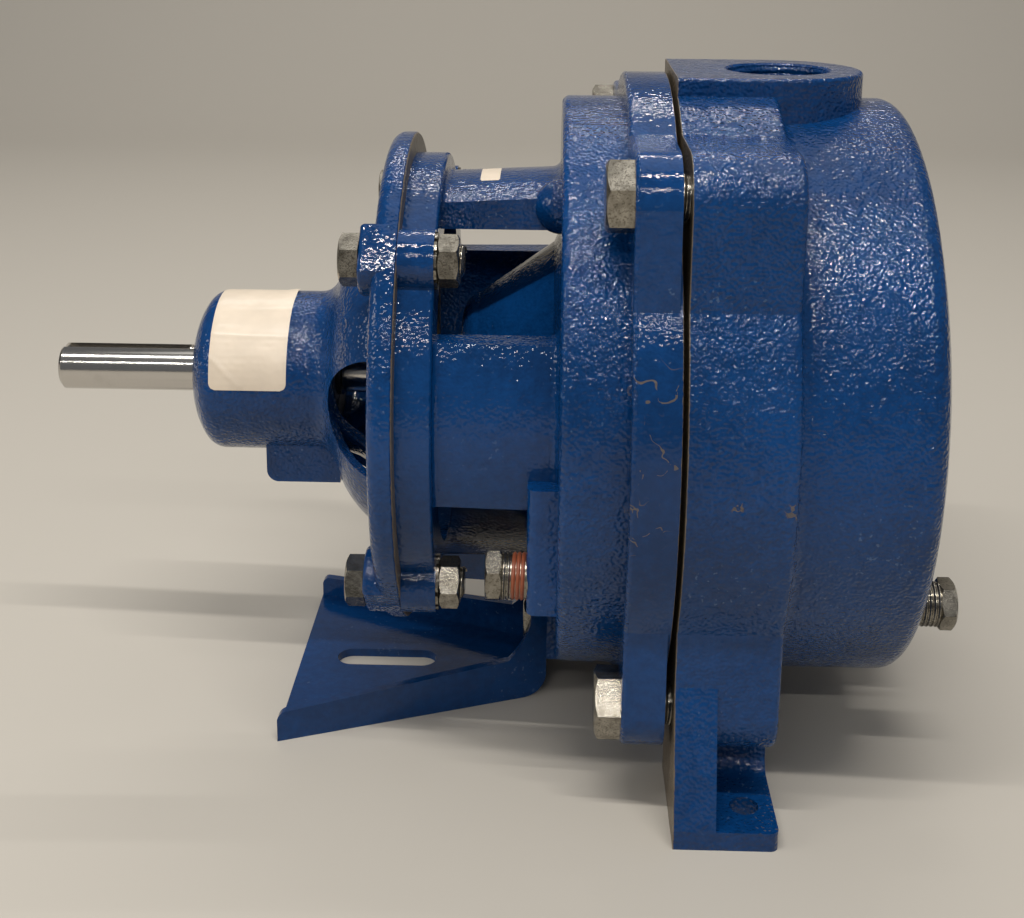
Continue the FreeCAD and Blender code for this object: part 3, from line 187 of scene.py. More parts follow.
class PumpLabel(bpy.types.PropertyGroup):
    """Size of the blank paper label on the barrel and the small one on the upper arm."""

    start: length_property("From the nose", "Gap between the barrel's nose and the label", 0.0088)
    width: length_property("Width", "Width of the label along the barrel", 0.0256)
    corner: length_property("Corner", "Radius of the label's corners", 0.002)
    paper: colour_property("Paper", "Colour of the labels", (0.82, 0.7, 0.56))
    thickness: length_property("Thickness", "Thickness of the paper", 0.0001)
    wrinkle: length_property("Wrinkle", "Height of the label's wrinkles", 0.00028)
    low_angle: FloatProperty(
        name="Lower edge",
        description="Angle of the label's lower edge above the horizontal",
        subtype="ANGLE",
        default=math.radians(3),
    )
    high_angle: FloatProperty(
        name="Upper edge",
        description="Angle of the label's hidden edge, past the top",
        subtype="ANGLE",
        default=math.radians(108),
    )
    arm_width: length_property("Arm label width", "Width of the small label along the arm", 0.0064)


class PumpStage(bpy.types.PropertyGroup):
    """The floor, the light and the camera."""

    floor: colour_property("Floor", "Colour of the floor and the backdrop", (0.53, 0.495, 0.44))
    lens: FloatProperty(name="Lens", description="Focal length in millimetres", default=51.6)
    key_power: FloatProperty(
        name="Key light",
        description="Power of the main strip, which the other lamps share",
        unit="POWER",
        default=14.5,
    )
    lamp: colour_property("Lamp colour", "Colour of the lamps", (1.0, 0.97, 0.92))
    sky: colour_property("Sky", "Colour of the even light all round", (0.95, 0.97, 1.0))
    sky_light: FloatProperty(name="Sky light", description="Strength of the even light", default=0.17)


# Kinds of socket
NUMBER = "NodeSocketFloat"
VECTOR = "NodeSocketVector"
COLOUR = "NodeSocketColor"


def math_node(tree, operation, first, second=None, third=None):
    """A Math node fed by sockets or numbers; returns its output."""
    node = tree.nodes.new("ShaderNodeMath")
    node.operation = operation
    for number, value in enumerate((first, second, third)):
        if value is None:
            continue
        if isinstance(value, (int, float)):
            node.inputs[number].default_value = value
        else:
            tree.links.new(value, node.inputs[number])
    return node.outputs[0]


def fed_node(tree, kind, **sources):
    """A node with inputs fed by sockets; an underscore stands for a space in an input's name."""
    node = tree.nodes.new(kind)
    for label, source in sources.items():
        tree.links.new(source, node.inputs[label.replace("_", " ")])
    return node


def mix_colour(tree, share, first, second):
    """A colour mix; returns its output."""
    node = tree.nodes.new("ShaderNodeMix")
    node.data_type = "RGBA"
    for socket, value in ((node.inputs[0], share), (node.inputs[6], first), (node.inputs[7], second)):
        if isinstance(value, bpy.types.NodeSocket):
            tree.links.new(value, socket)
        elif isinstance(value, (int, float)):
            socket.default_value = value
        else:
            socket.default_value = (*value, 1.0)
    return node.outputs[2]


def toned(colour, share):
    """The colour made darker or lighter by a share."""
    return [share * part for part in colour]


def smooth_step(tree, value, low, high):
    """A soft switch from 0 at low to 1 at high."""
    node = fed_node(tree, "ShaderNodeMapRange", Value=value)
    node.interpolation_type = "SMOOTHSTEP"
    node.inputs["From Min"].default_value = low
    node.inputs["From Max"].default_value = high
    return node.outputs["Result"]


def noise(tree, vector, scale, detail=2.0, roughness=0.5):
    """A Noise texture; its scale is a number or a socket."""
    node = fed_node(tree, "ShaderNodeTexNoise", Vector=vector)
    node.inputs["Detail"].default_value = detail
    node.inputs["Roughness"].default_value = roughness
    if isinstance(scale, (int, float)):
        node.inputs["Scale"].default_value = scale
    else:
        tree.links.new(scale, node.inputs["Scale"])
    return node.outputs["Fac"]


def new_group(name, inputs, outputs):
    """A shader group with named sockets."""
    group = bpy.data.node_groups.new(name, "ShaderNodeTree")
    for label, kind, value in inputs:
        socket = group.interface.new_socket(name=label, in_out="INPUT", socket_type=kind)
        if value is not None:
            socket.default_value = value
    for label, kind in outputs:
        group.interface.new_socket(name=label, in_out="OUTPUT", socket_type=kind)
    start = group.nodes.new("NodeGroupInput")
    end = group.nodes.new("NodeGroupOutput")
    return group, start, end


def cast_grain_group():
    """Height of sand-cast skin under gloss paint: rounded pimples with finer roughness on them."""
    group, start, end = new_group(
        "Cast grain",
        [
            ("Vector", VECTOR, None),
            ("Grain", NUMBER, 0.0013),
            ("Evenness", NUMBER, 0.5),
        ],
        [("Height", NUMBER), ("Patches", NUMBER)],
    )
    vector = start.outputs["Vector"]
    scale = math_node(group, "DIVIDE", 1.0, start.outputs["Grain"])
    coarse = noise(group, vector, scale, 0.2, 0.4)
    fine = noise(group, vector, math_node(group, "MULTIPLY", scale, 2.1), 1.5, 0.5)
    wavy = noise(group, vector, math_node(group, "MULTIPLY", scale, 0.23), 1.0, 0.5)
    broad = noise(group, vector, 26.0, 2.0, 0.5)
    strength = smooth_step(group, broad, 0.36, 0.6)
    uneven = math_node(group, "SUBTRACT", 1.0, start.outputs["Evenness"])
    strength = math_node(group, "MULTIPLY_ADD", strength, uneven, start.outputs["Evenness"])
    height = math_node(group, "MULTIPLY_ADD", fine, 0.06, coarse)
    height = math_node(group, "MULTIPLY", height, strength)
    height = math_node(group, "MULTIPLY_ADD", wavy, 0.9, height)
    group.links.new(height, end.inputs["Height"])
    group.links.new(broad, end.inputs["Patches"])
    return group


def gloss_paint_group():
    """Paint colour that darkens in patches, with sparse pale specks of dust."""
    group, start, end = new_group(
        "Gloss paint",
        [
            ("Vector", VECTOR, None),
            ("Paint", COLOUR, (0.02, 0.09, 0.27, 1)),
            ("Thick paint", COLOUR, (0.01, 0.05, 0.18, 1)),
            ("Dust", COLOUR, (0.12, 0.2, 0.34, 1)),
        ],
        [("Colour", COLOUR), ("Roughness", NUMBER)],
    )
    vector = start.outputs["Vector"]
    broad = noise(group, vector, 17.0, 3.0, 0.55)
    mottle = noise(group, vector, 340.0, 2.0, 0.6)
    share = math_node(group, "MULTIPLY_ADD", mottle, 0.5, broad)
    share = smooth_step(group, share, 0.5, 1.0)
    shade = mix_colour(group, share, start.outputs["Thick paint"], start.outputs["Paint"])
    specks = noise(group, vector, 620.0, 1.0, 0.5)
    patches = noise(group, vector, 30.0, 2.0, 0.5)
    dusty = smooth_step(group, specks, 0.66, 0.76)
    mask = math_node(group, "MULTIPLY", dusty, smooth_step(group, patches, 0.48, 0.66))
    mask = math_node(group, "MULTIPLY", mask, 0.4)
    colour = mix_colour(group, mask, shade, start.outputs["Dust"])
    roughness = math_node(group, "MULTIPLY_ADD", patches, 0.06, 0.04)
    group.links.new(colour, end.inputs["Colour"])
    group.links.new(roughness, end.inputs["Roughness"])
    return group


def worn_band_group():
    """Mask of the stretch between two planes across the shaft, with a ragged edge and rust stains."""
    group, start, end = new_group(
        "Worn band",
        [
            ("Vector", VECTOR, None),
            ("From", NUMBER, 0.0),
            ("To", NUMBER, 0.001),
            ("Raggedness", NUMBER, 0.0006),
        ],
        [("Mask", NUMBER), ("Stain", NUMBER)],
    )
    split = fed_node(group, "ShaderNodeSeparateXYZ", Vector=start.outputs["Vector"])
    ragged = noise(group, start.outputs["Vector"], 420.0, 3.0, 0.6)
    offset = math_node(group, "SUBTRACT", ragged, 0.5)
    moved = math_node(group, "MULTIPLY_ADD", offset, start.outputs["Raggedness"], split.outputs["X"])
    above = math_node(group, "GREATER_THAN", moved, start.outputs["From"])
    below = math_node(group, "LESS_THAN", moved, start.outputs["To"])
    mask = math_node(group, "MULTIPLY", above, below)
    stain = noise(group, start.outputs["Vector"], 160.0, 4.0, 0.6)
    group.links.new(mask, end.inputs["Mask"])
    group.links.new(stain, end.inputs["Stain"])
    return group


def scuff_group():
    """Mask of thin wandering scratches that fades out round a centre."""
    group, start, end = new_group(
        "Scuffs",
        [
            ("Vector", VECTOR, None),
            ("Centre", VECTOR, (0, 0, 0)),
            ("Reach", NUMBER, 0.02),
            ("Line", NUMBER, 0.012),
            ("Scale", NUMBER, 90.0),
        ],
        [("Mask", NUMBER)],
    )
    vector = start.outputs["Vector"]
    apart = group.nodes.new("ShaderNodeVectorMath")
    apart.operation = "DISTANCE"
    group.links.new(vector, apart.inputs[0])
    group.links.new(start.outputs["Centre"], apart.inputs[1])
    share = math_node(group, "DIVIDE", apart.outputs["Value"], start.outputs["Reach"])
    near = math_node(group, "SUBTRACT", 1.0, smooth_step(group, share, 0.55, 1.0))
    path = noise(group, vector, start.outputs["Scale"], 1.5, 0.6)
    away = math_node(group, "ABSOLUTE", math_node(group, "SUBTRACT", path, 0.5))
    line = math_node(group, "LESS_THAN", away, start.outputs["Line"])
    broken = math_node(group, "GREATER_THAN", noise(group, vector, 260.0, 2.0, 0.6), 0.47)
    mask = math_node(group, "MULTIPLY", math_node(group, "MULTIPLY", line, broken), near)
    mask = math_node(group, "MULTIPLY", mask, 0.75)
    group.links.new(mask, end.inputs["Mask"])
    return group


def plated_steel_group():
    """Zinc plate: a cloudy tone with dark specks."""
    group, start, end = new_group(
        "Plated steel",
        [
            ("Vector", VECTOR, None),
            ("Plate", COLOUR, (0.5, 0.48, 0.42, 1)),
            ("Dull", COLOUR, (0.2, 0.185, 0.155, 1)),
            ("Dirt", COLOUR, (0.09, 0.075, 0.055, 1)),
        ],
        [("Colour", COLOUR), ("Roughness", NUMBER), ("Height", NUMBER)],
    )
    cloud = noise(group, start.outputs["Vector"], 260.0, 3.0, 0.6)
    specks = noise(group, start.outputs["Vector"], 1500.0, 2.0, 0.6)
    mask = smooth_step(group, specks, 0.5, 0.68)
    mask = math_node(group, "MULTIPLY", mask, 0.75)
    cloudy = smooth_step(group, cloud, 0.3, 0.7)
    light = mix_colour(group, cloudy, start.outputs["Dull"], start.outputs["Plate"])
    colour = mix_colour(group, mask, light, start.outputs["Dirt"])
    roughness = math_node(group, "MULTIPLY_ADD", cloud, 0.2, 0.12)
    group.links.new(colour, end.inputs["Colour"])
    group.links.new(roughness, end.inputs["Roughness"])
    group.links.new(specks, end.inputs["Height"])
    return group


# The shader groups by a short name, filled in by main().
GROUPS = {}


def group_node(tree, key, vector, **values):
    """Places a shared group in a material with its own values."""
    node = tree.nodes.new("ShaderNodeGroup")
    node.node_tree = GROUPS[key]
    tree.links.new(vector, node.inputs["Vector"])
    for label, value in values.items():
        socket = node.inputs[label.replace("_", " ")]
        socket.default_value = (*value, 1.0) if socket.type == "RGBA" else value
    return node


def new_material(name):
    """A material with its Principled shader and object coordinates."""
    material = bpy.data.materials.new(name)
    material.use_nodes = True
    tree = material.node_tree
    shader = tree.nodes["Principled BSDF"]
    coordinates = tree.nodes.new("ShaderNodeTexCoord")
    return material, tree, shader, coordinates.outputs["Object"]


def feed(tree, shader, colour, roughness, metallic=0.0):
    """Gives a Principled shader its colour, roughness and share of metal."""
    tree.links.new(colour, shader.inputs["Base Color"])
    tree.links.new(roughness, shader.inputs["Roughness"])
    shader.inputs["Metallic"].default_value = metallic


def bump(tree, shader, height, distance):
    """Raises the surface by a height from 0 to 1 times a distance in metres."""
    node = fed_node(tree, "ShaderNodeBump", Height=height)
    node.inputs["Distance"].default_value = distance
    node.inputs["Strength"].default_value = 1.0
    tree.links.new(node.outputs["Normal"], shader.inputs["Normal"])


def casting_material(name, bare_from, bare_to, grain_share=1.0, evenness=0.5, scuffs=(), calm=()):
    """Gloss blue paint over a sand-cast skin.

    It is bare between two planes across the shaft, and in scuffs, each a centre, reach, width of line
    and scale. Each stretch in calm has two planes and the share of the grain's height between them.
    """
    paint = bpy.context.scene.pump_paint
    material, tree, shader, vector = new_material(name)
    colour = group_node(tree, "paint", vector, Paint=paint.blue[:], Thick_paint=paint.deep_blue[:])
    grain = group_node(tree, "grain", vector, Grain=paint.grain, Evenness=evenness)
    band = group_node(tree, "band", vector, From=bare_from, To=bare_to)
    stain = mix_colour(tree, band.outputs["Stain"], paint.bare_metal[:], toned(paint.bare_metal, 0.4))
    bare = band.outputs["Mask"]
    for centre, reach, line, scale in scuffs:
        scuff = group_node(tree, "scuffs", vector, Centre=centre, Reach=reach, Line=line, Scale=scale)
        bare = math_node(tree, "MAXIMUM", bare, scuff.outputs["Mask"])
    shade = mix_colour(tree, bare, colour.outputs["Colour"], stain)
    rough = math_node(tree, "MULTIPLY_ADD", bare, 0.3, colour.outputs["Roughness"])
    feed(tree, shader, shade, rough)
    height = grain.outputs["Height"]
    for calm_from, calm_to, share in calm:
        band = group_node(tree, "band", vector, From=calm_from, To=calm_to)
        level = math_node(tree, "MULTIPLY_ADD", band.outputs["Mask"], share - 1.0, 1.0)
        height = math_node(tree, "MULTIPLY", height, level)
    bump(tree, shader, height, paint.relief * grain_share)
    shader.inputs["Specular IOR Level"].default_value = 0.39
    return material


def plated_material(name, colour):
    """Zinc-plated steel of one colour."""
    material, tree, shader, vector = new_material(name)
    plate = group_node(tree, "plate", vector, Plate=colour)
    feed(tree, shader, plate.outputs["Colour"], plate.outputs["Roughness"], 0.9)
    bump(tree, shader, plate.outputs["Height"], 0.00004)
    return material


def ground_steel_material(name, colour):
    """Ground shaft: fine rings round the axis."""
    material, tree, shader, vector = new_material(name)
    stretched = fed_node(tree, "ShaderNodeMapping", Vector=vector)
    stretched.inputs["Scale"].default_value = (1.0, 0.02, 0.02)
    rings = noise(tree, stretched.outputs["Vector"], 2600.0, 2.0, 0.6)
    clouds = noise(tree, vector, 90.0, 3.0, 0.5)
    tone = mix_colour(tree, rings, toned(colour, 0.95), colour)
    tone = mix_colour(tree, smooth_step(tree, clouds, 0.55, 0.75), tone, toned(colour, 0.85))
    feed(tree, shader, tone, math_node(tree, "MULTIPLY_ADD", rings, 0.05, 0.11), 1.0)
    bump(tree, shader, rings, 0.0000002)
    return material


def moulded_material(name, colour, roughness, metallic=0.0):
    """Rubber, plastic, ceramic or pressed metal of one tone with fine unevenness."""
    material, tree, shader, vector = new_material(name)
    cloud = noise(tree, vector, 300.0, 3.0, 0.6)
    lit = [min(1.0, part) for part in toned(colour, 1.15)]
    tone = mix_colour(tree, cloud, toned(colour, 0.8), lit)
    rough = math_node(tree, "MULTIPLY_ADD", cloud, 0.15, roughness - 0.07)
    feed(tree, shader, tone, rough, metallic)
    bump(tree, shader, cloud, 0.00003)
    return material


def dress(node, material):
    """Gives a CAD node its finished material."""
    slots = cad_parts[node].data.materials
    if len(slots) == 0:
        slots.append(material)
    for number in range(len(slots)):
        slots[number] = material


def place(name, mesh, material, body):
    """A finished piece that rides on a body and takes its finish from a slot."""
    piece = bpy.data.objects.new(name, mesh)
    bpy.context.scene.collection.objects.link(piece)
    mesh.materials.clear()
    mesh.materials.append(material)
    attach(piece, body)


def on_round(x, radius, degrees):
    """A point round the shaft; the angle is measured from the near side up over the top."""
    angle = math.radians(degrees)
    return Vector((x, -radius * math.cos(angle), AXIS_HEIGHT + radius * math.sin(angle)))


class PUMP_OT_castings(bpy.types.Operator):
    """Paints the bearing frame, the adapter and the casing"""

    bl_idname = "pump.castings"
    bl_label = "Painted castings"

    def execute(self, context):
        paint = casting_material("Frame_paint", JOINT_X - 0.0003, JOINT_X + 0.01, grain_share=0.75)
        dress("bearing_frame", paint)
        scratches = (
            (on_round(FLANGE_FACE - 0.0078, FLANGE_RADIUS, 14), 0.014, 0.008, 70.0),
            (on_round(FLANGE_FACE - 0.0065, FLANGE_RADIUS, 6), 0.013, 0.007, 120.0),
            (on_round(FLANGE_FACE - 0.012, FLANGE_RADIUS, -6), 0.011, 0.008, 150.0),
        )
        smooth = (
            (JOINT_X - 0.01, JOINT_X + 0.046, 0.5),
            (FLANGE_FACE - 0.0125, FLANGE_FACE, 0.3),
        )
        paint = casting_material(
            "Adapter_paint", FLANGE_FACE - 0.0001, BEYOND, scuffs=scratches, calm=smooth
        )
        dress("adapter", paint)
        chips = (
            (on_round(CASING_FACE + 0.0142, FLANGE_RADIUS, -1.9), 0.0024, 0.03, 300.0),
            (on_round(CASING_FACE + 0.03, FLANGE_RADIUS, -2.5), 0.0035, 0.04, 300.0),
        )
        paint = casting_material(
            "Casing_paint", -BEYOND, CASING_FACE + 0.00025, evenness=0.72, scuffs=chips
        )
        dress("casing", paint)
        return {"FINISHED"}


def bell_section(settings):
    """Outline of the bell's wall, from its root on the barrel out to the flange and back inside.

    Points are pairs of a distance from the joint face and a radius.
    """
    root = settings.root_radius
    mouth = (BELL_MOUTH, settings.mouth_radius)
    sunk = root - 0.0006
    inner_mouth = (BELL_MOUTH, settings.mouth_radius - settings.wall)
    inner_root = (-0.0235, root + 0.0008)

    def sweep(first, first_handle, second_handle, second):
        """A curve between two points."""
        points = [Vector((*pair, 0.0)) for pair in (first, first_handle, second_handle, second)]
        return [(point.x, point.y) for point in interpolate_bezier(*points, BELL_CURVE_POINTS)]

    outside = sweep((BELL_START, root), (-0.0276, root), (-0.0256, 0.0334), BELL_WAIST)
    outside += sweep(BELL_WAIST, (-0.0222, 0.0417), (-0.0175, 0.0495), mouth)[1:]
    inside = sweep(inner_mouth, (-0.0165, 0.0455), (-0.0205, 0.0365), inner_root)
    return outside + inside + [(-0.0255, sunk), (BELL_START, sunk)]


def turned_mesh(name, section, steps):
    """A closed section turned once round the shaft."""
    points = []
    for step in range(steps):
        for x, radius in section:
            points.append(on_round(JOINT_X + x, radius, 360 * step / steps))
    count = len(section)
    faces = []
    for step in range(steps):
        near = step * count
        far = (step + 1) % steps * count
        for number in range(count):
            after = (number + 1) % count
            faces.append((near + number, near + after, far + after, far + number))
    mesh = bpy.data.meshes.new(name)
    mesh.from_pydata(points, [], faces)
    return mesh


def outward(mesh, sharp_angle):
    """Turns a closed mesh's faces outwards and shades it smooth but for its sharp edges."""
    shape = bmesh.new()
    shape.from_mesh(mesh)
    bmesh.ops.recalc_face_normals(shape, faces=shape.faces)
    shape.to_mesh(mesh)
    shape.free()
    for polygon in mesh.polygons:
        polygon.use_smooth = True
    mesh.set_sharp_from_angle(angle=math.radians(sharp_angle))


class PUMP_OT_bell(bpy.types.Operator):
    """Flares the bearing frame's bell out to its flange, round the same four windows"""

    bl_idname = "pump.bell"
    bl_label = "Bell of the bearing frame"

    def execute(self, context):
        settings = context.scene.pump_bell
        mesh = turned_mesh("bell_flare", bell_section(settings), BELL_STEPS)
        outward(mesh, BELL_SHARP_ANGLE)
        piece = bpy.data.objects.new("bell_flare", mesh)
        context.scene.collection.objects.link(piece)
        middle = Matrix.Translation((JOINT_X - settings.window_centre, 0.0, AXIS_HEIGHT))
        cutters = []
        for turn in (Matrix.Rotation(math.radians(90), 4, "X"), Matrix.Identity(4)):
            shape = bmesh.new()
            bmesh.ops.create_cone(
                shape,
                cap_ends=True,
                segments=WINDOW_FACETS,
                radius1=settings.window_radius,
                radius2=settings.window_radius,
                depth=WINDOW_DEPTH,
                matrix=middle @ turn,
            )
            tool = bpy.data.meshes.new("window")
            shape.to_mesh(tool)
            shape.free()
            cutter = bpy.data.objects.new("window", tool)
            context.scene.collection.objects.link(cutter)
            cutters.append(cutter)
            modifier = piece.modifiers.new("Window", "BOOLEAN")
            modifier.object = cutter
            modifier.operation = "DIFFERENCE"
            modifier.solver = "EXACT"
        depsgraph = context.evaluated_depsgraph_get()
        finished = bpy.data.meshes.new_from_object(piece.evaluated_get(depsgraph), depsgraph=depsgraph)
        bpy.data.objects.remove(piece)
        for cutter in cutters:
            bpy.data.objects.remove(cutter)
        outward(finished, BELL_SHARP_ANGLE)
        place("bell_flare", finished, bpy.data.materials["Frame_paint"], "pump")
        return {"FINISHED"}


class PUMP_OT_bracket(bpy.types.Operator):
    """Paints the pressed steel bracket"""

    bl_idname = "pump.bracket"
    bl_label = "Support bracket"

    def execute(self, context):
        paint = casting_material("Bracket_paint", BEYOND, 2 * BEYOND, grain_share=0.12)
        dress("support_bracket", paint)
        return {"FINISHED"}


class PUMP_OT_hardware(bpy.types.Operator):
    """Plates the bolts, nuts, washers and plugs"""

    bl_idname = "pump.hardware"
    bl_label = "Bolts, nuts and plugs"

    def execute(self, context):
        zinc = context.scene.pump_hardware.zinc[:]
        plate = plated_material("Zinc_plate", zinc)
        for node in ("frame_bolts", "frame_nuts", "casing_bolts", "bracket_bolts", "casing_drain_plug"):
            dress(node, plate)
        dull = plated_material("Dull_plate", toned(zinc, 0.8))
        for node in ("frame_star_washers", "adapter_plug"):
            dress(node, dull)
        return {"FINISHED"}


def thread_tree():
    """Geometry Nodes for a helical ridge on each point of a mesh, for shanks and the walls of ports."""
    tree = bpy.data.node_groups.new("Thread ridge", "GeometryNodeTree")
    tree.interface.new_socket(name="Geometry", in_out="INPUT", socket_type="NodeSocketGeometry")
    sizes = ("Radius", "Ridge", "Pitch", "Length")
    kinds = dict.fromkeys(sizes, NUMBER)
    kinds.update({"Facets": "NodeSocketInt", "Turn": VECTOR, "Material": "NodeSocketMaterial"})
    for label, kind in kinds.items():
        tree.interface.new_socket(name=label, in_out="INPUT", socket_type=kind)
    tree.interface.new_socket(name="Geometry", in_out="OUTPUT", socket_type="NodeSocketGeometry")
    start = tree.nodes.new("NodeGroupInput")
    end = tree.nodes.new("NodeGroupOutput")
    radius, ridge, pitch, length = (start.outputs[label] for label in sizes)
    spiral = fed_node(
        tree,
        "GeometryNodeCurveSpiral",
        Resolution=start.outputs["Facets"],
        Rotations=math_node(tree, "DIVIDE", length, pitch),
        Start_Radius=radius,
        End_Radius=radius,
        Height=length,
    )
    upright = fed_node(tree, "GeometryNodeSetCurveNormal", Curve=spiral.outputs["Curve"])
    upright.mode = "Z_UP"
    section = tree.nodes.new("GeometryNodeCurvePrimitiveQuadrilateral")
    section.mode = "POINTS"
    corners = ((0.15, -0.5), (0.15, 0.5), (-1.0, 0.09), (-1.0, -0.09))
    for number, (height, along) in enumerate(corners, 1):
        corner = fed_node(
            tree,
            "ShaderNodeCombineXYZ",
            X=math_node(tree, "MULTIPLY", ridge, height),
            Y=math_node(tree, "MULTIPLY", pitch, along),
        )
        tree.links.new(corner.outputs["Vector"], section.inputs["Point %d" % number])
    sweep = fed_node(
        tree,
        "GeometryNodeCurveToMesh",
        Curve=upright.outputs["Curve"],
        Profile_Curve=section.outputs["Curve"],
    )
    sweep.inputs["Fill Caps"].default_value = True
    spread = fed_node(
        tree,
        "GeometryNodeInstanceOnPoints",
        Points=start.outputs["Geometry"],
        Instance=sweep.outputs["Mesh"],
        Rotation=start.outputs["Turn"],
    )
    joined = fed_node(tree, "GeometryNodeRealizeInstances", Geometry=spread.outputs["Instances"])
    finish = fed_node(
        tree,
        "GeometryNodeSetMaterial",
        Geometry=joined.outputs["Geometry"],
        Material=start.outputs["Material"],
    )
    tree.links.new(finish.outputs["Geometry"], end.inputs["Geometry"])
    return tree


def bolt_circle(x, diameter):
    """The places of four bolts round the shaft."""
    offset = diameter / 2 / math.sqrt(2)
    return [(x, y, AXIS_HEIGHT + z) for y in (-offset, offset) for z in (-offset, offset)]


def add_thread(name, tree, places, turn, radius, pitch, length, material, inward=False):
    """Turns the ridges on these places into one plain mesh that rides on the pump."""
    settings = bpy.context.scene.pump_threads
    seats = bpy.data.meshes.new(name)
    seats.from_pydata(places, [], [])
    piece = bpy.data.objects.new(name, seats)
    bpy.context.scene.collection.objects.link(piece)
    modifier = piece.modifiers.new("Thread", "NODES")
    modifier.node_group = tree
    values = {
        "Radius": radius,
        "Ridge": -settings.ridge if inward else settings.ridge,
        "Pitch": pitch,
        "Length": length,
        "Facets": settings.facets,
        "Turn": turn,
        "Material": material,
    }
    for item in tree.interface.items_tree:
        if item.in_out == "INPUT" and item.name in values:
            modifier[item.identifier] = values[item.name]
    depsgraph = bpy.context.evaluated_depsgraph_get()
    ridges = bpy.data.meshes.new_from_object(piece.evaluated_get(depsgraph), depsgraph=depsgraph)
    piece.modifiers.clear()
    piece.data = ridges
    ridges.materials.clear()
    ridges.materials.append(material)
    bpy.data.meshes.remove(seats)
    outward(ridges, THREAD_SHARP_ANGLE)
    if len(ridges.polygons) < settings.facets:
        raise RuntimeError(name + " came out empty")
    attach(piece, "pump")


class PUMP_OT_threads(bpy.types.Operator):
    """Cuts the threads that show on the bolts, the plugs and in the ports"""

    bl_idname = "pump.threads"
    bl_label = "Threads and sealant"

    def execute(self, context):
        settings = context.scene.pump_threads
        tree = thread_tree()
        plate = bpy.data.materials["Zinc_plate"]
        dull = bpy.data.materials["Dull_plate"]
        along = (0.0, math.radians(90), 0.0)
        against = (0.0, math.radians(-90), 0.0)
        down = (math.radians(180), 0.0, 0.0)
        colour = context.scene.pump_hardware.sealant[:]
        sealant = moulded_material("Thread_sealant", colour, 0.4)

        def plug_thread(name, seat, turn, length, material):
            """One stretch of thread on a pipe plug."""
            pitch = settings.plug_pitch
            add_thread(name, tree, [seat], turn, settings.plug_radius, pitch, length, material)

        low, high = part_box("adapter_plug")
        plug = Vector((low.x + settings.plug_head, (low.y + high.y) / 2, (low.z + high.z) / 2))
        steel = settings.plug_exposed - settings.sealed
        wound = plug + Vector((steel, 0.0, 0.0))
        plug_thread("plug_thread", plug, along, steel, dull)
        plug_thread("plug_sealant", wound, along, settings.sealed, sealant)
        low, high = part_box("casing_drain_plug")
        plug = Vector((high.x - settings.plug_head, (low.y + high.y) / 2, (low.z + high.z) / 2))
        exposed = settings.plug_exposed
        plug_thread("drain_plug_thread", plug, against, exposed, plate)

        ear = FLANGE_FACE - settings.ear_setback
        seats = bolt_circle(ear, settings.casing_circle)
        gap = CASING_FACE - ear
        pitch = settings.coarse_pitch
        radius = CASING_BOLT_RADIUS
        add_thread("casing_bolt_threads", tree, seats, along, radius, pitch, gap, plate)
        nut_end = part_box("frame_nuts")[1].x
        seats = bolt_circle(nut_end, settings.frame_circle)
        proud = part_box("frame_bolts")[1].x - nut_end - BOLT_TIP
        pitch = settings.fine_pitch
        radius = FRAME_BOLT_RADIUS
        add_thread("frame_bolt_threads", tree, seats, along, radius, pitch, proud, plate)

        paint = bpy.data.materials["Casing_paint"]
        pitch = settings.port_pitch
        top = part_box("casing")[1].z - settings.port_chamfer - pitch / 2
        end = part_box("casing")[1].x - settings.port_chamfer - pitch / 2
        discharge = (CASING_FACE + settings.port_offset, 0.0, top)
        drive = (end, 0.0, AXIS_HEIGHT - settings.drive_drop)
        length = settings.port_thread
        for name, seat, turn, wall in (
            ("discharge_thread", discharge, down, settings.discharge_radius),
            ("suction_thread", (end, 0.0, AXIS_HEIGHT), against, settings.suction_radius),
            ("drive_thread", drive, against, settings.drive_radius),
        ):
            add_thread(name, tree, [seat], turn, wall, pitch, length, paint, True)
        return {"FINISHED"}


def surface_of(node):
    """The surface of a CAD node, to lay labels on."""
    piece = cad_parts[node]
    points = [piece.matrix_world @ vertex.co for vertex in piece.data.vertices]
    return BVHTree.FromPolygons(points, [polygon.vertices[:] for polygon in piece.data.polygons])


def sheet_faces(rows, columns):
    """Faces of two layers of points and of the rim that closes them."""
    across = columns + 1
    single = across * (rows + 1)
    faces = []
    for row in range(rows):
        for column in range(columns):
            n = row * across + column
            faces.append((n, n + 1, n + across + 1, n + across))
            faces.append((single + n, single + n + across, single + n + across + 1, single + n + 1))
    rim = list(range(across))
    rim += [row * across + columns for row in range(1, rows + 1)]
    rim += [rows * across + column for column in range(columns - 1, -1, -1)]
    rim += [row * across for row in range(rows - 1, 0, -1)]
    for first, second in zip(rim, rim[1:] + rim[:1]):
        faces.append((first, single + first, single + second, second))
    return faces


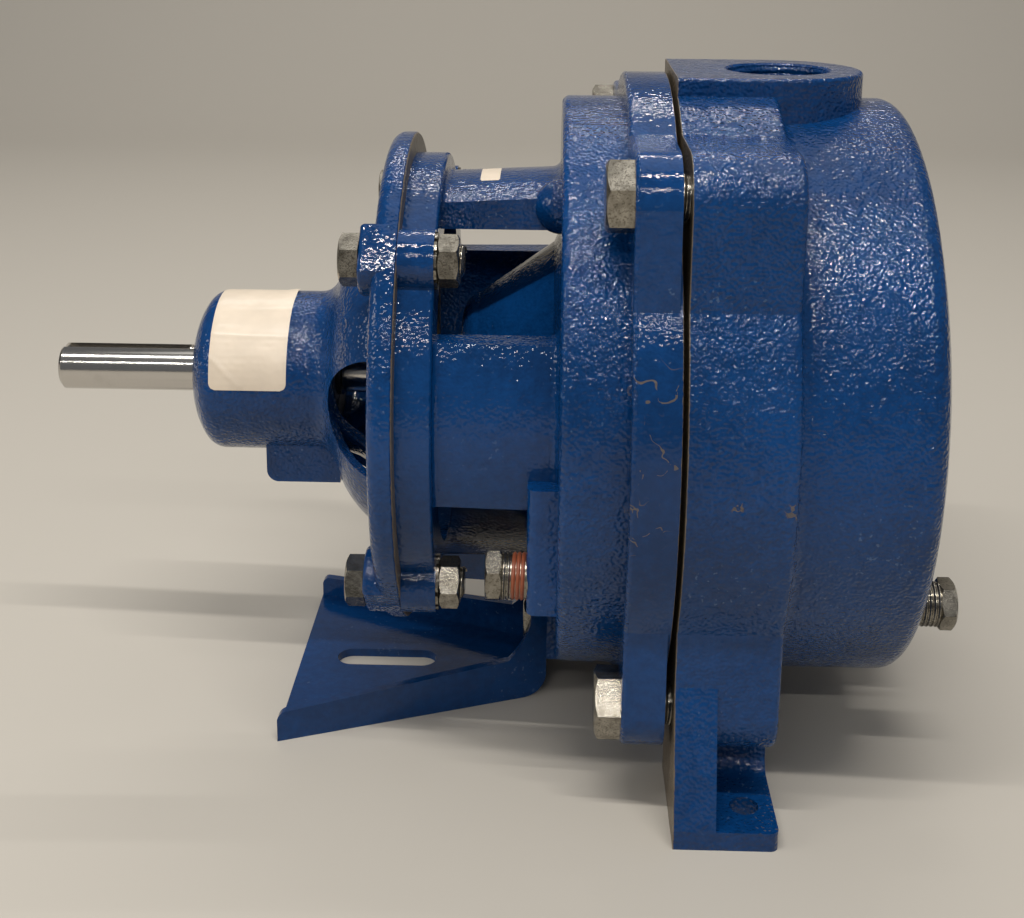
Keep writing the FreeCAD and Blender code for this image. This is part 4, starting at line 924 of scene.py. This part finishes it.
def sheet_on(surface, name, start, width, angles, outside, corner, lift, thickness):
    """A thin closed sheet that follows a surface round the shaft.

    It is cast on from a round outside the surface, and lift(share, angle) raises it.
    """
    low, high = angles
    rows = max(LEAST_ROWS, round(math.degrees(high - low)))
    columns = LABEL_COLUMNS
    points = []
    for layer in (TOP_GAP + thickness, UNDERSIDE_GAP):
        for row in range(rows + 1):
            angle = low + (high - low) * row / rows
            edge = min(row, rows - row) / rows * (high - low) * outside * SURFACE_SHARE
            inset = 0.0
            if edge < corner:
                inset = corner - math.sqrt(max(0.0, corner**2 - (corner - edge) ** 2))
            for column in range(columns + 1):
                share = column / columns
                x = start + inset + (width - 2 * inset) * share
                far = on_round(x, outside, math.degrees(angle))
                towards = (Vector((x, 0.0, AXIS_HEIGHT)) - far).normalized()
                spot = surface.ray_cast(far, towards)[0]
                if spot is None:
                    raise RuntimeError(name + " misses its surface")
                points.append(spot - towards * (layer + lift(share, math.degrees(angle))))
    mesh = bpy.data.meshes.new(name)
    mesh.from_pydata(points, [], sheet_faces(rows, columns))
    outward(mesh, LABEL_SHARP_ANGLE)
    return mesh


def hump(value, middle, spread):
    """A smooth hump of height 1 round a middle."""
    return math.exp(-(((value - middle) / spread) ** 2))


def paper_material(name, colour):
    """Coated paper: cream, a little cloudy, with soft creases."""
    material, tree, shader, vector = new_material(name)
    cloud = noise(tree, vector, 55.0, 3.0, 0.6)
    tone = mix_colour(tree, smooth_step(tree, cloud, 0.3, 0.75), colour, toned(colour, 0.86))
    tree.links.new(tone, shader.inputs["Base Color"])
    shader.inputs["Roughness"].default_value = 0.34
    creases = noise(tree, vector, 130.0, 2.0, 0.55)
    bump(tree, shader, creases, 0.00035)
    return material


class PUMP_OT_labels(bpy.types.Operator):
    """Lays a blank, creased paper label on the barrel and a small one on the upper arm"""

    bl_idname = "pump.labels"
    bl_label = "Blank labels"

    def execute(self, context):
        settings = context.scene.pump_label
        paper = paper_material("Label_paper", settings.paper[:])
        height = settings.wrinkle

        def creases(share, angle):
            """Two long creases, a short one, one across the low corner and a lifted high corner."""
            level = 0.6 * hump(angle, 62 + 3 * share, 2.2) * (0.4 + 0.6 * share)
            level += 0.8 * hump(angle, 43 - 2 * share, 2.6) * (1.0 - 0.3 * share)
            level += 0.5 * hump(angle, 27 + 4 * share, 3.5) * hump(share, 0.7, 0.3)
            level += 1.1 * hump(angle - 4, 22 * (1 - share / 0.42), 2.0) * (share < 0.42)
            level += 0.35 * field.noise(Vector((share * 3.1, angle * 0.055, 0.3)))
            if share > 0.86 and angle > 84:
                level += 1.6 * (share - 0.86) / 0.14 * min(1.0, (angle - 84) / 8)
            return max(0.0, level) * height

        def flat(share, angle):
            """No creases."""
            return 0.0

        mesh = sheet_on(
            surface_of("bearing_frame"),
            "barrel_label",
            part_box("bearing_frame")[0].x + settings.start,
            settings.width,
            (settings.low_angle, settings.high_angle),
            BARREL_ROUND,
            settings.corner,
            creases,
            settings.thickness,
        )
        place("barrel_label", mesh, paper, "pump")
        mesh = sheet_on(
            surface_of("adapter"),
            "arm_label",
            JOINT_X + ARM_LABEL_START,
            settings.arm_width,
            [math.radians(angle) for angle in ARM_LABEL_ANGLES],
            ARM_ROUND,
            ARM_LABEL_CORNER,
            flat,
            settings.thickness,
        )
        place("arm_label", mesh, paper, "pump")
        return {"FINISHED"}


class PUMP_OT_rotor(bpy.types.Operator):
    """Finishes the shaft and everything that turns or seals inside"""

    bl_idname = "pump.rotor"
    bl_label = "Shaft, bearings and seal"

    def execute(self, context):
        steel = context.scene.pump_hardware.shaft_steel[:]
        dress("shaft", ground_steel_material("Ground_shaft", steel))
        polished = ground_steel_material("Bearing_steel", (0.62, 0.62, 0.63))
        pressed = moulded_material("Pressed_steel", (0.5, 0.5, 0.49), 0.4, 0.9)
        for side in ("outboard", "inboard"):
            for piece in ("outer_ring", "inner_ring", "balls"):
                dress(side + "_bearing_" + piece, polished)
            dress(side + "_bearing_cage", pressed)
        for node in ("bearing_retaining_ring", "shaft_snap_ring"):
            dress(node, moulded_material(node + "_steel", (0.2, 0.2, 0.21), 0.45, 0.9))
        rubber = moulded_material("Black_rubber", (0.025, 0.025, 0.026), 0.7)
        for node in ("drive_end_lip_seal", "slinger", "seal_seat_cup", "seal_bellows"):
            dress(node, rubber)
        for node in ("guide_seal_ring", "casing_gasket"):
            dress(node, rubber)
        stainless = moulded_material("Stainless_steel", (0.55, 0.55, 0.54), 0.35, 1.0)
        for node in ("seal_retainer", "seal_spring", "wear_ring"):
            dress(node, stainless)
        dress("seal_seat", moulded_material("Sealing_ceramic", (0.78, 0.75, 0.68), 0.35))
        dress("seal_carbon", moulded_material("Seal_carbon", (0.05, 0.05, 0.053), 0.45))
        dress("impeller", moulded_material("Impeller_resin", (0.06, 0.06, 0.066), 0.5))
        dress("guide_vane", moulded_material("Guide_vane_resin", (0.08, 0.08, 0.086), 0.55))
        dress("impeller_insert", moulded_material("Insert_brass", (0.68, 0.46, 0.18), 0.35, 1.0))
        return {"FINISHED"}


def add_floor(scene):
    """The floor with its cove and backdrop."""
    profile = [(FLOOR_FRONT, 0.0), (FLOOR_BACK, 0.0)]
    for step in range(1, COVE_STEPS + 1):
        angle = math.radians(90 * step / COVE_STEPS)
        y = FLOOR_BACK + COVE_RADIUS * math.sin(angle)
        profile.append((y, COVE_RADIUS - COVE_RADIUS * math.cos(angle)))
    profile.append((FLOOR_BACK + COVE_RADIUS, BACKDROP_TOP))
    vertices = [(x, y, z) for x in (-FLOOR_SIDE, FLOOR_SIDE) for y, z in profile]
    count = len(profile)
    faces = [(count + n, count + n + 1, n + 1, n) for n in range(count - 1)]
    mesh = bpy.data.meshes.new("floor")
    mesh.from_pydata(vertices, [], faces)
    for polygon in mesh.polygons:
        polygon.use_smooth = True
    floor = bpy.data.objects.new("floor", mesh)
    scene.collection.objects.link(floor)
    material, _, shader, _ = new_material("Floor")
    shader.inputs["Base Color"].default_value = (*scene.pump_stage.floor, 1.0)
    shader.inputs["Roughness"].default_value = 0.7
    mesh.materials.append(material)


def add_light(scene):
    """The even light all round and the lamps."""
    stage = scene.pump_stage
    world = bpy.data.worlds.new("Studio")
    world.use_nodes = True
    background = world.node_tree.nodes["Background"]
    background.inputs["Color"].default_value = (*stage.sky, 1.0)
    background.inputs["Strength"].default_value = stage.sky_light
    scene.world = world
    for name, position, length, width, share in LAMPS:
        lamp = bpy.data.lights.new(name, "AREA")
        lamp.shape = "RECTANGLE"
        lamp.energy = share * stage.key_power
        lamp.size = length
        lamp.size_y = width
        lamp.color = stage.lamp[:]
        holder = bpy.data.objects.new(name, lamp)
        holder.location = position
        aim = Vector(AIM) - Vector(position)
        holder.rotation_euler = aim.to_track_quat("-Z", "Y").to_euler()
        scene.collection.objects.link(holder)


def add_camera(scene):
    """The camera where the photo's stood."""
    camera = bpy.data.cameras.new("photo_camera")
    camera.lens = scene.pump_stage.lens
    camera.sensor_width = SENSOR_WIDTH
    camera.shift_y = CAMERA_SHIFT
    camera.clip_start = CLIP_START
    holder = bpy.data.objects.new("photo_camera", camera)
    yaw, pitch, roll = (math.radians(angle) for angle in CAMERA_ANGLES)
    right = Vector((math.cos(yaw), math.sin(yaw), 0.0))
    level = math.cos(pitch)
    ahead = Vector((-math.sin(yaw) * level, math.cos(yaw) * level, -math.sin(pitch)))
    up = right.cross(ahead)
    turned_right = math.cos(roll) * right + math.sin(roll) * up
    turned_up = -math.sin(roll) * right + math.cos(roll) * up
    rotation = Matrix((turned_right, turned_up, -ahead)).transposed().to_4x4()
    holder.matrix_world = Matrix.Translation(CAMERA_PLACE) @ rotation
    scene.collection.objects.link(holder)
    scene.camera = holder


class PUMP_OT_stage(bpy.types.Operator):
    """Sets up the floor, the light and the camera"""

    bl_idname = "pump.stage"
    bl_label = "Stage"

    def execute(self, context):
        context.scene.view_settings.view_transform = "Standard"
        add_floor(context.scene)
        add_light(context.scene)
        add_camera(context.scene)
        return {"FINISHED"}


class PUMP_PT_panel(bpy.types.Panel):
    """Lists the pump's pieces and their settings"""

    bl_idname = "PUMP_PT_panel"
    bl_label = "Jet well pump"
    bl_space_type = "VIEW_3D"
    bl_region_type = "UI"
    bl_category = "Pump"

    def draw(self, context):
        for operator in OPERATORS:
            self.layout.operator(operator.bl_idname)
        for settings in SETTINGS:
            column = self.layout.column()
            group = getattr(context.scene, settings)
            for name in group.__annotations__:
                column.prop(group, name)


SETTINGS = {
    "pump_paint": PumpPaint,
    "pump_hardware": PumpHardware,
    "pump_bell": PumpBell,
    "pump_threads": PumpThreads,
    "pump_label": PumpLabel,
    "pump_stage": PumpStage,
}
OPERATORS = (
    PUMP_OT_castings,
    PUMP_OT_bell,
    PUMP_OT_bracket,
    PUMP_OT_hardware,
    PUMP_OT_threads,
    PUMP_OT_labels,
    PUMP_OT_rotor,
    PUMP_OT_stage,
)


def register():
    """Registers the settings, the operators and the panel."""
    for settings in SETTINGS.values():
        bpy.utils.register_class(settings)
    for name, settings in SETTINGS.items():
        setattr(bpy.types.Scene, name, PointerProperty(type=settings))
    for operator in OPERATORS:
        bpy.utils.register_class(operator)
    bpy.utils.register_class(PUMP_PT_panel)


def unregister():
    """Takes back what register() did."""
    bpy.utils.unregister_class(PUMP_PT_panel)
    for operator in reversed(OPERATORS):
        bpy.utils.unregister_class(operator)
    for name in SETTINGS:
        delattr(bpy.types.Scene, name)
    for settings in reversed(SETTINGS.values()):
        bpy.utils.unregister_class(settings)


def main():
    """Builds every piece in order."""
    register()
    GROUPS["grain"] = cast_grain_group()
    GROUPS["paint"] = gloss_paint_group()
    GROUPS["band"] = worn_band_group()
    GROUPS["plate"] = plated_steel_group()
    GROUPS["scuffs"] = scuff_group()
    for operator in OPERATORS:
        area, name = operator.bl_idname.split(".")
        getattr(getattr(bpy.ops, area), name)()


if __name__ == "__main__":
    main()
